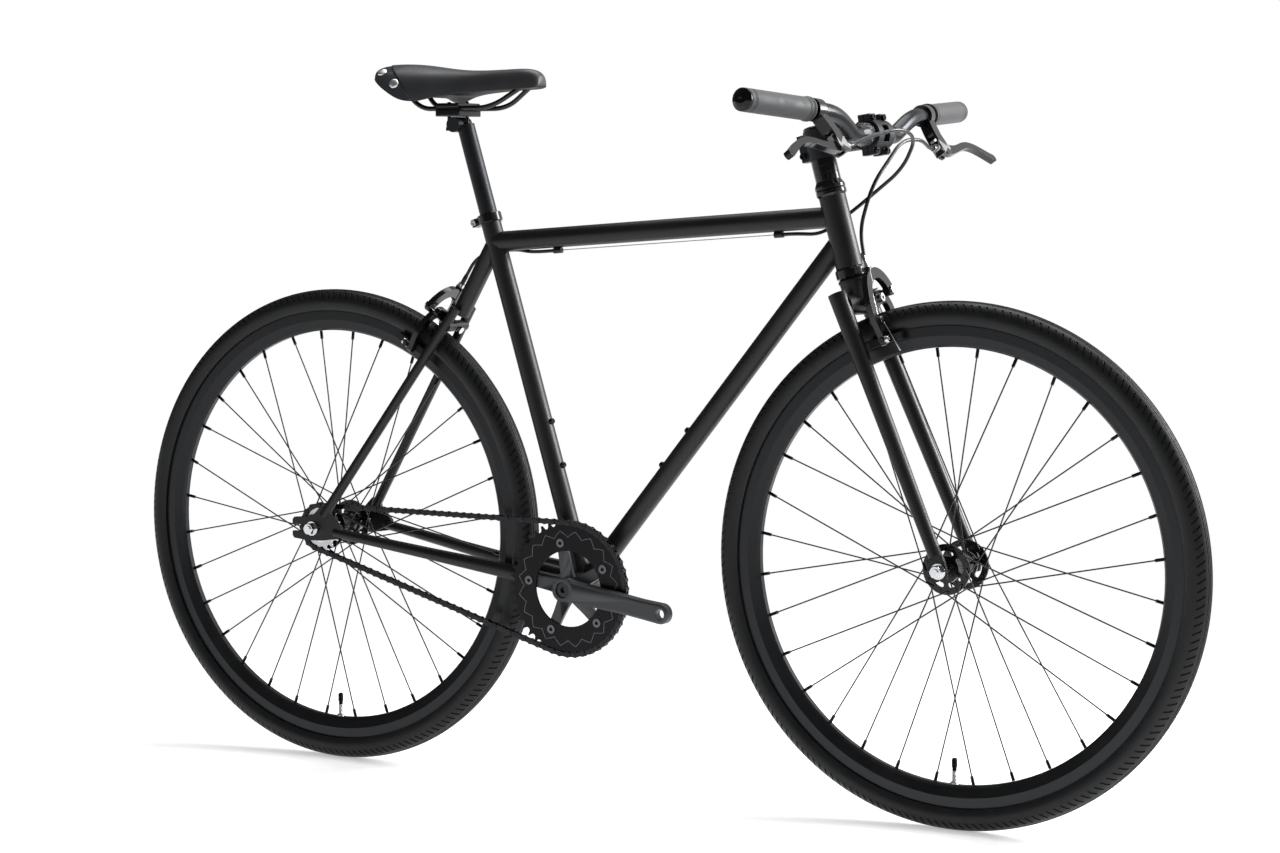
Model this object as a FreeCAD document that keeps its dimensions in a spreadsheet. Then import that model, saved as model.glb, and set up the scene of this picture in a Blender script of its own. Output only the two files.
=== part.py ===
import FreeCAD
import Part
import math
import os

# Fixed gear bicycle, real size in millimetres.
# +X points forward, +Y to the rider's left, +Z up.
# The origin is on the ground, midway between the two wheels.

DOC = FreeCAD.newDocument("fixed_gear_bicycle")
SHEET = DOC.addObject("Spreadsheet::Sheet", "Dimensions")

DIMENSIONS = (
    # frame angles and lengths
    ("wheelbase", 1000.0),
    ("seat_angle", 73.0),
    ("head_angle", 74.5),
    ("fork_rake", 47.0),
    ("bottom_bracket_drop", 62.5),
    ("seat_tube_length", 540.0),
    ("seat_tube_diameter", 28.6),
    ("top_tube_diameter", 28.6),
    ("down_tube_diameter", 28.6),
    ("frame_tube_wall", 1.4),
    ("seat_cluster_height", 505.0),
    ("top_tube_below_head", 28.0),
    ("down_tube_above_head", 39.0),
    ("head_tube_length", 97.5),
    ("head_tube_diameter", 36.4),
    ("head_tube_bore", 34.0),
    ("shell_width", 68.0),
    ("shell_diameter", 40.0),
    ("shell_bore", 34.8),
    ("monostay_diameter", 25.4),
    ("monostay_lean", 30.5),
    ("seatstay_diameter", 14.0),
    ("chainstay_width", 17.0),
    ("chainstay_height", 24.0),
    ("chainstay_end", 14.0),
    ("chainstay_bridge_diameter", 14.0),
    ("bridge_diameter", 16.0),
    ("rear_spacing", 120.0),
    ("rear_dropout_thickness", 6.0),
    ("front_spacing", 100.0),
    ("front_dropout_thickness", 5.0),
    ("axle_diameter", 10.0),
    ("front_axle_diameter", 9.0),
    # wheels
    ("tyre_outer_diameter", 698.0),
    ("tyre_width", 38.0),
    ("tyre_wall", 3.0),
    ("rim_outer_diameter", 634.0),
    ("rim_width", 23.0),
    ("rim_depth", 28.4),
    ("rim_wall", 2.0),
    ("brake_track_height", 13.0),
    ("spoke_count", 32.0),
    ("spoke_diameter", 2.0),
    ("nipple_diameter", 4.4),
    ("nipple_length", 12.0),
    ("flange_diameter", 67.0),
    ("flange_thickness", 3.4),
    ("flange_spacing", 60.0),
    ("spoke_circle", 58.0),
    ("hub_shell_diameter", 31.0),
    ("running_fit", 0.06),
    # fork and headset
    ("crown_height", 368.0),
    ("crown_setback", 3.0),
    ("crown_diameter", 28.0),
    ("crown_neck_height", 30.0),
    ("blade_diameter", 25.4),
    ("blade_tip_diameter", 18.5),
    ("blade_spread", 82.0),
    ("blade_top_height", 385.0),
    ("steerer_diameter", 28.6),
    ("steerer_bore", 25.4),
    ("race_height", 5.7),
    ("bearing_gap", 0.3),
    ("lower_cup_height", 14.0),
    ("upper_cup_height", 9.0),
    ("cover_height", 12.0),
    ("cup_diameter", 41.0),
    ("spacer_height", 10.0),
    ("spacer_diameter", 34.0),
    # stem and handlebar
    ("stem_length", 80.0),
    ("stem_rise", 8.5),
    ("stem_clamp_height", 40.0),
    ("stem_clamp_diameter", 37.0),
    ("bar_clamp_diameter", 31.8),
    ("bar_clamp_width", 46.0),
    ("bar_diameter", 22.2),
    ("bar_wall", 2.0),
    ("bar_width", 636.0),
    ("bar_rise", 26.0),
    ("grip_diameter", 30.0),
    ("grip_length", 140.0),
    ("lever_clamp_place", 163.0),
    ("lever_reach", 58.0),
    ("lever_lean", 56.0),
    # seat
    ("seatpost_diameter", 25.4),
    ("seatpost_insertion", 150.0),
    ("seatpost_showing", 138.0),
    ("saddle_length", 268.0),
    ("saddle_width", 148.0),
    ("saddle_top", 1024.0),
    ("rail_diameter", 7.0),
    ("rail_spacing", 44.0),
    # drivetrain
    ("chain_pitch", 12.7),
    ("chain_links", 100.0),
    ("chainring_teeth", 46.0),
    ("cog_teeth", 16.0),
    ("chain_line", 45.0),
    ("sprocket_thickness", 2.8),
    ("roller_diameter", 7.75),
    ("chainring_bolt_circle", 130.0),
    ("chainring_hole", 107.0),
    ("crank_length", 165.0),
    ("crank_drop_angle", 7.3),
    ("pedal_thread", 14.28),
    ("spindle_diameter", 17.0),
    # brakes
    ("caliper_bolt_diameter", 6.0),
    ("caliper_arm_thickness", 8.0),
    ("pad_gap", 2.0),
    ("housing_diameter", 5.0),
    ("cable_diameter", 1.6),
)


def fill_sheet():
    """Write each driving dimension into its own named cell."""
    for row, (alias, number) in enumerate(DIMENSIONS, start=1):
        SHEET.set("A%d" % row, alias.replace("_", " "))
        SHEET.set("B%d" % row, str(number))
        SHEET.setAlias("B%d" % row, alias)
    DOC.recompute()


fill_sheet()


def size(alias):
    return float(SHEET.get(alias))


def cell(alias):
    return "Dimensions." + alias


Vector = FreeCAD.Vector
ORIGIN = Vector(0, 0, 0)
FORWARD = Vector(1, 0, 0)
LEFT = Vector(0, 1, 0)
RIGHT = Vector(0, -1, 0)
UP = Vector(0, 0, 1)
SIDES = (1, -1)


def polar(radius, degrees):
    return Vector(radius * math.cos(math.radians(degrees)), 0, radius * math.sin(math.radians(degrees)))


def mirrored(point):
    return Vector(point.x, -point.y, point.z)


# Helpers that make objects of the document


def bind(obj, name, amount):
    """Bind a size to the sheet where it is an expression, or set the number worked out from it."""
    if isinstance(amount, str):
        obj.setExpression(name, amount)
    else:
        setattr(obj, name, amount)


def cylinder(name, start, axis, radius, length):
    rod = DOC.addObject("Part::Cylinder", name)
    bind(rod, "Radius", radius)
    bind(rod, "Height", length)
    rod.Placement = FreeCAD.Placement(start, FreeCAD.Rotation(UP, axis))
    return rod


def cut(name, base, tool):
    part = DOC.addObject("Part::Cut", name)
    part.Base = base
    part.Tool = tool
    return part


def feature(name, shape):
    part = DOC.addObject("Part::Feature", name)
    part.Shape = shape
    part.Placement = shape.Placement
    return part


def group(name, pieces):
    part = DOC.addObject("Part::Compound", name)
    part.Links = pieces
    return part


def tube(name, start, axis, outer, inner, length):
    skin = cylinder(name + "_skin", start, axis, outer, length)
    bore = cylinder(name + "_bore", start, axis, inner, length)
    return cut(name, skin, bore)


NODES = []


def node(part, label):
    """Name a finished piece: its label is the name of its file."""
    part.Label = label
    NODES.append(part)
    return part


# Helpers that make plain shapes


def rod_shape(start, end, radius):
    run = end - start
    return Part.makeCylinder(radius, run.Length, start, run)


def turned_shape(profile, start, axis):
    """A closed profile of (radius, height) points turned about an axis."""
    points = [Vector(radius, 0, height) for radius, height in profile]
    points.append(points[0])
    solid = Part.Face(Part.makePolygon(points)).revolve(ORIGIN, UP, 360)
    solid.Placement = FreeCAD.Placement(start, FreeCAD.Rotation(UP, axis))
    return solid


def ring_shape(inner, outer, height, start, axis):
    return turned_shape(((inner, 0), (outer, 0), (outer, height), (inner, height)), start, axis)


def hex_shape(across, height, start, axis):
    corner = across / math.sqrt(3)
    points = [Vector(corner * math.cos(math.radians(60 * k)), corner * math.sin(math.radians(60 * k)), 0)
              for k in range(7)]
    solid = Part.Face(Part.makePolygon(points)).extrude(Vector(0, 0, height))
    solid.Placement = FreeCAD.Placement(start, FreeCAD.Rotation(UP, axis))
    return solid


def box_shape(centre, length, width, height):
    corner = centre - Vector(length / 2, width / 2, height / 2)
    return Part.makeBox(length, width, height, corner)


def spline_edge(points):
    curve = Part.BSplineCurve()
    curve.interpolate(points)
    return curve.toShape()


def band_shape(path, thickness):
    """A flat bar of changing width along a plane path of (x, y, half width), with round ends."""
    left = []
    right = []
    last = len(path) - 1
    for index, (x, y, half) in enumerate(path):
        ahead = path[min(index + 1, last)]
        behind = path[max(index - 1, 0)]
        along = Vector(ahead[0] - behind[0], ahead[1] - behind[1], 0).normalize()
        across = Vector(-along.y, along.x, 0)
        left.append(Vector(x, y, 0) + across * half)
        right.append(Vector(x, y, 0) - across * half)
    start_along = Vector(path[1][0] - path[0][0], path[1][1] - path[0][1], 0).normalize()
    end_along = Vector(path[last][0] - path[last - 1][0], path[last][1] - path[last - 1][1], 0).normalize()
    start_tip = Vector(path[0][0], path[0][1], 0) - start_along * path[0][2]
    end_tip = Vector(path[last][0], path[last][1], 0) + end_along * path[last][2]
    edges = [
        spline_edge(left) if len(path) > 2 else Part.makeLine(left[0], left[1]),
        Part.Arc(left[last], end_tip, right[last]).toShape(),
        spline_edge(right[::-1]) if len(path) > 2 else Part.makeLine(right[1], right[0]),
        Part.Arc(right[0], start_tip, left[0]).toShape(),
    ]
    return Part.Face(Part.Wire(edges)).extrude(Vector(0, 0, thickness))


def rounded_path(points, share):
    """Straight runs joined by tangent arcs, each arc using the given share of its shorter run."""
    edges = []
    here = points[0]
    for before, corner, after in zip(points, points[1:], points[2:]):
        back = (before - corner)
        ahead = (after - corner)
        reach = share * min(back.Length, ahead.Length)
        back.normalize()
        ahead.normalize()
        start = corner + back * reach
        end = corner + ahead * reach
        half = back.getAngle(ahead) / 2
        radius = reach * math.tan(half)
        middle_way = (back + ahead).normalize()
        middle = corner + middle_way * (radius / math.sin(half) - radius)
        edges.append(Part.LineSegment(here, start).toShape())
        edges.append(Part.Arc(start, middle, end).toShape())
        here = end
    edges.append(Part.LineSegment(here, points[-1]).toShape())
    return Part.Wire(edges)


def pipe_shape(points, radius, share=0.45):
    """A round rod swept along straight runs and tangent arcs."""
    path = rounded_path(points, share)
    section = Part.Wire(Part.Circle(points[0], points[1] - points[0], radius).toShape())
    solid = path.makePipeShell([section], True, False)
    expected = math.pi * radius * radius * path.Length
    if abs(solid.Volume - expected) > 0.02 * expected:
        raise ValueError("a swept rod lost its volume")
    return solid


def joined(shapes):
    return shapes[0].multiFuse(shapes[1:]).removeSplitter()


def placed(shape, placement):
    moved = shape.copy()
    moved.Placement = placement.multiply(moved.Placement)
    return moved


# Layout: the points that the pieces share

HUB_HEIGHT = size("tyre_outer_diameter") / 2
REAR_HUB = Vector(-size("wheelbase") / 2, 0, HUB_HEIGHT)
FRONT_HUB = Vector(size("wheelbase") / 2, 0, HUB_HEIGHT)
PITCH = size("chain_pitch")
RING_TEETH = int(size("chainring_teeth"))
COG_TEETH = int(size("cog_teeth"))
RING_PITCH_RADIUS = PITCH / (2 * math.sin(math.pi / RING_TEETH))
COG_PITCH_RADIUS = PITCH / (2 * math.sin(math.pi / COG_TEETH))


def chain_wrap(centre_distance):
    """Angle by which each straight run of the chain leans from the line between the sprockets."""
    return math.asin((RING_PITCH_RADIUS - COG_PITCH_RADIUS) / centre_distance)


def links_around(centre_distance):
    """Chain length in links: straight runs plus the teeth each sprocket holds."""
    lean = chain_wrap(centre_distance)
    straight = 2 * centre_distance * math.cos(lean) / PITCH
    on_ring = RING_TEETH * (math.pi + 2 * lean) / (2 * math.pi)
    on_cog = COG_TEETH * (math.pi - 2 * lean) / (2 * math.pi)
    return straight + on_ring + on_cog


def tensioned_distance():
    """Distance from bottom bracket to rear axle at which the chain has a whole number of links."""
    low = RING_PITCH_RADIUS
    high = 4 * size("wheelbase")
    for _ in range(80):
        middle = (low + high) / 2
        if links_around(middle) < size("chain_links"):
            low = middle
        else:
            high = middle
    return low


CHAINSTAY = tensioned_distance()
BRACKET = REAR_HUB + Vector(math.sqrt(CHAINSTAY ** 2 - size("bottom_bracket_drop") ** 2), 0,
                            -size("bottom_bracket_drop"))
SEAT_AXIS = polar(1, 180 - size("seat_angle"))
SEAT_TOP = BRACKET + SEAT_AXIS * size("seat_tube_length")
SEAT_CLUSTER = BRACKET + SEAT_AXIS * size("seat_cluster_height")
STEER_AXIS = polar(1, 180 - size("head_angle"))
STEER_FRONT = polar(1, 90 - size("head_angle"))
STEER_FOOT = FRONT_HUB - STEER_FRONT * size("fork_rake")
NECK_TOP = size("crown_height") + size("crown_neck_height")
RACE_TOP = NECK_TOP + size("race_height")
HEAD_LOW = RACE_TOP + size("bearing_gap") + size("lower_cup_height")
HEAD_HIGH = HEAD_LOW + size("head_tube_length")
CUP_HIGH = HEAD_HIGH + size("upper_cup_height")
COVER_LOW = CUP_HIGH + size("bearing_gap")
COVER_HIGH = COVER_LOW + size("cover_height")
SPACER_COUNT = 3
STEM_LOW = COVER_HIGH + SPACER_COUNT * size("spacer_height")
STEM_HIGH = STEM_LOW + size("stem_clamp_height")


def on_steerer(height, ahead=0.0, side=0.0):
    """A point by its height along the steering axis, its distance ahead of it and to the left."""
    return STEER_FOOT + STEER_AXIS * height + STEER_FRONT * ahead + LEFT * side


HEAD_TOP_JOINT = on_steerer(HEAD_HIGH - size("top_tube_below_head"))
HEAD_LOW_JOINT = on_steerer(HEAD_LOW + size("down_tube_above_head"))
MONOSTAY_AXIS = polar(1, 270 - size("monostay_lean"))
BRIDGE_FROM_HUB = 366.0


def bridge_place():
    """Point on the monostay's line at the brake bridge's distance from the rear hub."""
    from_hub = SEAT_CLUSTER - REAR_HUB
    along = from_hub.dot(MONOSTAY_AXIS)
    beyond = from_hub.dot(from_hub) - BRIDGE_FROM_HUB ** 2
    return SEAT_CLUSTER + MONOSTAY_AXIS * (-along - math.sqrt(along ** 2 - beyond))


BRIDGE = bridge_place()
MONOSTAY_END = BRIDGE - MONOSTAY_AXIS * 20.0
STAY_TOP_SIDE = (size("monostay_diameter") + size("seatstay_diameter")) / 2 + 0.1
STAY_TOP = BRIDGE - MONOSTAY_AXIS * 30.0 + LEFT * STAY_TOP_SIDE
DROPOUT_MID = (size("rear_spacing") + size("rear_dropout_thickness")) / 2
STAY_FOOT = REAR_HUB + Vector(24.0, DROPOUT_MID, 26.0)


# Plates drawn as sketches


def origin_plane(body, role):
    for item in body.Origin.OriginFeatures:
        if item.Role == role:
            return item
    raise ValueError("the body has no plane " + role)


def new_sketch(body, name):
    sketch = body.newObject("Sketcher::SketchObject", name)
    sketch.AttachmentSupport = (origin_plane(body, "XY_Plane"), [""])
    sketch.MapMode = "FlatFace"
    return sketch


def draw_outline(sketch, corners):
    points = [Vector(x, y, 0) for x, y in corners]
    for start, end in zip(points, points[1:] + points[:1]):
        sketch.addGeometry(Part.LineSegment(start, end), False)


def slotted_plate(name, outline, slot, thickness, place):
    """A padded plate with one open slot: slot is (closed end, open end, width) along local x."""
    body = DOC.addObject("PartDesign::Body", name)
    sketch = new_sketch(body, name + "_outline")
    draw_outline(sketch, outline)
    pad = body.newObject("PartDesign::Pad", name + "_pad")
    pad.Profile = sketch
    bind(pad, "Length", thickness)
    closed, opened, width = slot
    slot_sketch = new_sketch(body, name + "_slot")
    draw_outline(slot_sketch,
                 ((closed, -width / 2), (closed, width / 2), (opened, width / 2), (opened, -width / 2)))
    pocket = body.newObject("PartDesign::Pocket", name + "_pocket")
    pocket.Profile = slot_sketch
    pocket.Reversed = True
    bind(pocket, "Length", thickness)
    body.Placement = place
    return body


UPRIGHT = FreeCAD.Rotation(FORWARD, 90)

# Frame


def frame_tube(name, start, end, diameter, copes):
    """A tube between two points, coped by the tubes that it meets."""
    run = end - start
    radius = cell(diameter) + " / 2"
    skin = cylinder(name + "_skin", start, run, radius, run.Length)
    hollow = cylinder(name + "_hollow", start, run, radius + " - " + cell("frame_tube_wall"), run.Length)
    pipe = cut(name + "_pipe", skin, hollow)
    for index, cope in enumerate(copes):
        pipe = cut("%s_cope_%d" % (name, index), pipe, cope)
    return pipe


COPE_LENGTH = 80.0
seat_cope = cylinder("seat_cope", BRACKET, SEAT_AXIS, cell("seat_tube_diameter") + " / 2",
                     cell("seat_tube_length"))
shell_cope = cylinder("shell_cope", BRACKET + LEFT * COPE_LENGTH / 2, RIGHT, cell("shell_diameter") + " / 2",
                      COPE_LENGTH)
head_cope = cylinder("head_cope", on_steerer(HEAD_LOW - COPE_LENGTH), STEER_AXIS,
                     cell("head_tube_diameter") + " / 2",
                     cell("head_tube_length") + " + 160")

seat_bore = cylinder("seat_bore", BRACKET, SEAT_AXIS,
                     cell("seatpost_diameter") + " / 2 + " + cell("running_fit"), cell("seat_tube_length"))
seat_pipe = cut("seat_pipe", seat_cope, seat_bore)
node(cut("seat_tube_part", seat_pipe, shell_cope), "seat_tube")

TOP_TUBE_AXIS = (HEAD_TOP_JOINT - SEAT_CLUSTER).normalize()
top_tube_start = SEAT_CLUSTER + TOP_TUBE_AXIS * 2.0
node(frame_tube("top_tube", top_tube_start, HEAD_TOP_JOINT, "top_tube_diameter", (seat_cope, head_cope)),
     "top_tube")

DOWN_TUBE_AXIS = (HEAD_LOW_JOINT - BRACKET).normalize()
node(frame_tube("down_tube", BRACKET, HEAD_LOW_JOINT, "down_tube_diameter",
                (shell_cope, seat_cope, head_cope)),
     "down_tube")

node(tube("head_tube", on_steerer(HEAD_LOW), STEER_AXIS, cell("head_tube_diameter") + " / 2",
          cell("head_tube_bore") + " / 2", cell("head_tube_length")), "head_tube")

node(tube("bottom_bracket_shell", BRACKET + LEFT * size("shell_width") / 2, RIGHT,
          cell("shell_diameter") + " / 2",
          cell("shell_bore") + " / 2", cell("shell_width")), "bottom_bracket_shell")

monostay_start = SEAT_CLUSTER + MONOSTAY_AXIS * 2.0
node(frame_tube("monostay", monostay_start, MONOSTAY_END, "monostay_diameter", (seat_cope,)), "monostay")

REAR_SLOT_WIDTH = size("axle_diameter") + 0.2
REAR_SLOT = (14.0, -60.0, REAR_SLOT_WIDTH)
REAR_PLATE = ((52, -12), (52, 3), (33, 22), (30, 31), (17, 35), (4, 22), (-10, 17), (-33, 15.5), (-36, 12),
              (-36, -12), (-33, -15.5), (-8, -18), (18, -17))
rear_plates = []
for side, outer_face in ((1, size("rear_spacing") / 2 + size("rear_dropout_thickness")),
                         (-1, -size("rear_spacing") / 2)):
    plate_place = FreeCAD.Placement(REAR_HUB + LEFT * outer_face, UPRIGHT)
    plate_name = "left_rear_plate" if side > 0 else "right_rear_plate"
    rear_plates.append(slotted_plate(plate_name, REAR_PLATE, REAR_SLOT, cell("rear_dropout_thickness"),
                                     plate_place))
node(group("rear_plate_pair", rear_plates), "rear_dropouts")
DOC.recompute()
REAR_PLATE_SHAPES = [plate.Shape.copy() for plate in rear_plates]


def ellipse_wire(centre, half_width, half_height):
    curve = Part.Ellipse(centre + UP * half_height, centre + LEFT * half_width, centre)
    return Part.Wire(curve.toShape())


def chainstay_shape(side):
    """A stay that bows out round the tyre and ends round at the dropout plate."""
    half_width = size("chainstay_width") / 2
    half_height = size("chainstay_height") / 2
    tip = size("chainstay_end") / 2
    front = BRACKET + Vector(-4.4, 0, 0)
    back = REAR_HUB + Vector(39.0, 0, -4.0)
    stations = (
        (0.00, 25.5, half_width, half_height),
        (0.33, 31.0, half_width, half_height - 1.0),
        (0.58, 44.0, half_width, half_height - 3.0),
        (1.00, DROPOUT_MID, tip - 0.1, tip),
    )
    wires = []
    for share, offset, width, height in stations:
        centre = front + (back - front) * share + LEFT * offset * side
        wires.append(ellipse_wire(centre, width, height))
    stay = Part.makeLoft(wires, True, True)
    shell_radius = size("shell_diameter") / 2
    shell_end = BRACKET + LEFT * side * size("shell_width") / 2
    stay = stay.cut(rod_shape(BRACKET, shell_end, shell_radius))
    stay = stay.cut(rod_shape(shell_end, shell_end + LEFT * side * COPE_LENGTH, shell_radius + 0.9))
    return stay.cut(REAR_PLATE_SHAPES[0 if side > 0 else 1])


chainstays = [chainstay_shape(side) for side in SIDES]
chainstay_bridge_place = BRACKET + Vector(-42.0, 0, 6.0)
chainstay_bridge = rod_shape(chainstay_bridge_place + LEFT * 24, chainstay_bridge_place + RIGHT * 24,
                             size("chainstay_bridge_diameter") / 2).cut(chainstays[0]).cut(chainstays[1])
node(feature("chainstay_pair", Part.makeCompound(chainstays + [chainstay_bridge])), "chainstays")


def seatstay_shape(side):
    top = Vector(STAY_TOP.x, STAY_TOP.y * side, STAY_TOP.z)
    foot = Vector(STAY_FOOT.x, STAY_FOOT.y * side, STAY_FOOT.z)
    along = (foot - top).normalize()
    outer = size("seatstay_diameter") / 2
    inner = outer - size("frame_tube_wall")
    end = foot + along * 8.0
    stay = rod_shape(top, end, outer).cut(REAR_PLATE_SHAPES[0 if side > 0 else 1])
    return stay.cut(rod_shape(top + along * 3.0, foot - along * 16.0, inner))


seatstays = [seatstay_shape(side) for side in SIDES]
REAR_UP = (BRIDGE - REAR_HUB).normalize()
REAR_UP = FreeCAD.Rotation(RIGHT, 1.7).multVec(REAR_UP)
REAR_OUT = RIGHT.cross(REAR_UP)
BOLT_RADIUS = size("caliper_bolt_diameter") / 2
bridge = rod_shape(BRIDGE + LEFT * 26, BRIDGE + RIGHT * 26, size("bridge_diameter") / 2)
for stay, side in zip(seatstays, SIDES):
    stay_top = Vector(STAY_TOP.x, STAY_TOP.y * side, STAY_TOP.z)
    stay_foot = Vector(STAY_FOOT.x, STAY_FOOT.y * side, STAY_FOOT.z)
    stay_run = (stay_foot - stay_top).normalize()
    bridge = bridge.cut(rod_shape(stay_top - stay_run * 40, stay_foot, size("seatstay_diameter") / 2))
    bridge = bridge.common(box_shape(BRIDGE, 60, 48, 60))
bridge = max(bridge.Solids, key=lambda solid: solid.Volume)
bridge = bridge.cut(rod_shape(BRIDGE - REAR_OUT * 30, BRIDGE + REAR_OUT * 30, BOLT_RADIUS))
node(feature("seatstay_pair", Part.makeCompound(seatstays + [bridge])), "seatstays")

# Headset and bottom bracket bearings


def headset_cup(flange_height, start, axis):
    """A cup pressed in the head tube, with the bearing ring that the steerer turns in."""
    flange = size("cup_diameter") / 2
    seat = size("head_tube_bore") / 2
    bearing = size("steerer_diameter") / 2 + size("running_fit")
    clear = bearing + 1.0
    depth = 10.0
    profile = ((bearing, 0.6), (bearing, 7.0), (clear, 8.0), (clear, flange_height + depth),
               (seat, flange_height + depth), (seat, flange_height), (seat + 1.2, flange_height),
               (flange, flange_height - 3.0), (flange, 1.0), (flange - 1.0, 0), (bearing + 0.6, 0))
    return turned_shape(profile, start, axis)


lower_cup = headset_cup(size("lower_cup_height"), on_steerer(RACE_TOP + size("bearing_gap")), STEER_AXIS)
upper_cup = headset_cup(size("upper_cup_height"), on_steerer(CUP_HIGH), -STEER_AXIS)
node(feature("headset_cup_pair", Part.makeCompound([lower_cup, upper_cup])), "headset_cups")


def bracket_cup(side):
    seat = size("shell_bore") / 2
    flange = size("shell_diameter") / 2 + 0.5
    bearing = size("spindle_diameter") / 2 + size("running_fit")
    profile = ((bearing, 0), (bearing, 18.0), (flange - 1.0, 18.0), (flange, 17.0), (flange, 15.0),
               (seat, 15.0),
               (seat, 0))
    start = BRACKET + LEFT * side * (size("shell_width") / 2 - 15.0)
    return turned_shape(profile, start, LEFT * side)


node(feature("bracket_cup_pair", Part.makeCompound([bracket_cup(side) for side in SIDES])),
     "bottom_bracket_cups")

# Seat clamp, bottle bolts and cable stops

CLAMP_STEP = 6.0
CLAMP_HEIGHT = 13.0
CLAMP_OUTER = size("seat_tube_diameter") / 2 + 3.2


def seat_clamp_shape():
    """A split collar on top of the seat tube with two lugs behind it."""
    inner = size("seat_tube_diameter") / 2
    lip = size("seatpost_diameter") / 2 + 0.4
    start = SEAT_TOP - SEAT_AXIS * (CLAMP_HEIGHT - CLAMP_STEP)
    profile = ((inner, 0), (CLAMP_OUTER - 0.8, 0), (CLAMP_OUTER, 0.8), (CLAMP_OUTER, CLAMP_HEIGHT - 0.8),
               (CLAMP_OUTER - 0.8, CLAMP_HEIGHT), (lip, CLAMP_HEIGHT), (lip, CLAMP_HEIGHT - CLAMP_STEP),
               (inner, CLAMP_HEIGHT - CLAMP_STEP))
    collar = turned_shape(profile, ORIGIN, UP)
    lugs = box_shape(Vector(-CLAMP_OUTER - 3.0, 0, CLAMP_HEIGHT / 2), 12.0, 17.0, CLAMP_HEIGHT - 1.6)
    lugs = lugs.cut(rod_shape(Vector(0, 0, -1), Vector(0, 0, CLAMP_HEIGHT + 1), inner + 0.5))
    clamp = joined([collar, lugs])
    clamp = clamp.cut(box_shape(Vector(-CLAMP_OUTER - 3.0, 0, CLAMP_HEIGHT / 2), 18.0, 2.4, CLAMP_HEIGHT + 2))
    bolt_at = Vector(-CLAMP_OUTER - 4.4, 0, CLAMP_HEIGHT / 2)
    clamp = clamp.cut(rod_shape(bolt_at + LEFT * 20, bolt_at + RIGHT * 20, 2.6))
    place = FreeCAD.Placement(start, FreeCAD.Rotation(UP, SEAT_AXIS))
    bolt = joined([rod_shape(bolt_at + RIGHT * 8.5, bolt_at + LEFT * 9.0, 2.5),
                   rod_shape(bolt_at + RIGHT * 8.5, bolt_at + RIGHT * 12.5, 4.2)])
    bolt = bolt.cut(hex_shape(4.0, 2.5, bolt_at + RIGHT * 12.5, LEFT))
    return placed(clamp, place), placed(bolt, place)


seat_clamp, seat_clamp_bolt = seat_clamp_shape()
node(feature("seat_clamp_collar", seat_clamp), "seat_clamp")


def button_bolt(place, outward, radius, height):
    """A round headed bolt that stands on a surface."""
    profile = ((0, 0), (radius, 0), (radius, height * 0.45), (radius * 0.72, height), (0, height))
    head = turned_shape(profile, place, outward)
    return head.cut(hex_shape(radius * 0.7, height, place + outward * height * 0.45, outward))


BOTTLE_SPACING = 64.0
BOTTLE_LOW = 172.0
BOTTLE_HEAD = 4.6
SEAT_FRONT = SEAT_AXIS.cross(RIGHT)
DOWN_UPPER = RIGHT.cross(DOWN_TUBE_AXIS)
bottle_bolts = []
for rise in (BOTTLE_LOW, BOTTLE_LOW + BOTTLE_SPACING):
    place = BRACKET + SEAT_AXIS * rise + SEAT_FRONT * (size("seat_tube_diameter") / 2 + 0.5)
    bottle_bolts.append(joined([button_bolt(place, SEAT_FRONT, BOTTLE_HEAD, 3.4),
                                rod_shape(place - SEAT_FRONT * 0.45, place + SEAT_FRONT, 3.4)]))
for rise in (BOTTLE_LOW + 44.0, BOTTLE_LOW + 44.0 + BOTTLE_SPACING):
    place = BRACKET + DOWN_TUBE_AXIS * rise + DOWN_UPPER * (size("down_tube_diameter") / 2 + 0.5)
    bottle_bolts.append(joined([button_bolt(place, DOWN_UPPER, BOTTLE_HEAD, 3.4),
                                rod_shape(place - DOWN_UPPER * 0.45, place + DOWN_UPPER, 3.4)]))

TOP_TUBE_UNDER = LEFT.cross(TOP_TUBE_AXIS)
STOP_RADIUS = 4.2
STOP_LENGTH = 13.0
STOP_DROP = size("top_tube_diameter") / 2 + STOP_RADIUS - 0.2


def top_tube_point(x, drop):
    """A point below the top tube's axis at a distance along the bicycle."""
    along = (x - SEAT_CLUSTER.x) / TOP_TUBE_AXIS.x
    return SEAT_CLUSTER + TOP_TUBE_AXIS * along + TOP_TUBE_UNDER * drop


FRONT_STOP_X = 236.0
REAR_STOP_X = -115.0
WIRE_RADIUS = size("cable_diameter") / 2
HOUSING_RADIUS = size("housing_diameter") / 2


def cable_stop(x, toward):
    """A stop brazed under the top tube: the housing enters from one side, only the wire goes on."""
    centre = top_tube_point(x, STOP_DROP)
    along = TOP_TUBE_AXIS * toward
    barrel = rod_shape(centre - along * STOP_LENGTH / 2, centre + along * STOP_LENGTH / 2, STOP_RADIUS)
    barrel = barrel.cut(rod_shape(centre - along * STOP_LENGTH, centre + along * STOP_LENGTH,
                                  WIRE_RADIUS + 0.35))
    pocket = rod_shape(centre - along * (STOP_LENGTH / 2 - 4.0), centre + along * STOP_LENGTH,
                       HOUSING_RADIUS + 0.3)
    tube_body = rod_shape(top_tube_point(x - 30, 0), top_tube_point(x + 30, 0), size("top_tube_diameter") / 2)
    return barrel.cut(pocket).cut(tube_body)


node(feature("cable_stop_pair",
             Part.makeCompound([cable_stop(FRONT_STOP_X, 1), cable_stop(REAR_STOP_X, -1)])),
     "cable_stops")

# Axles


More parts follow.
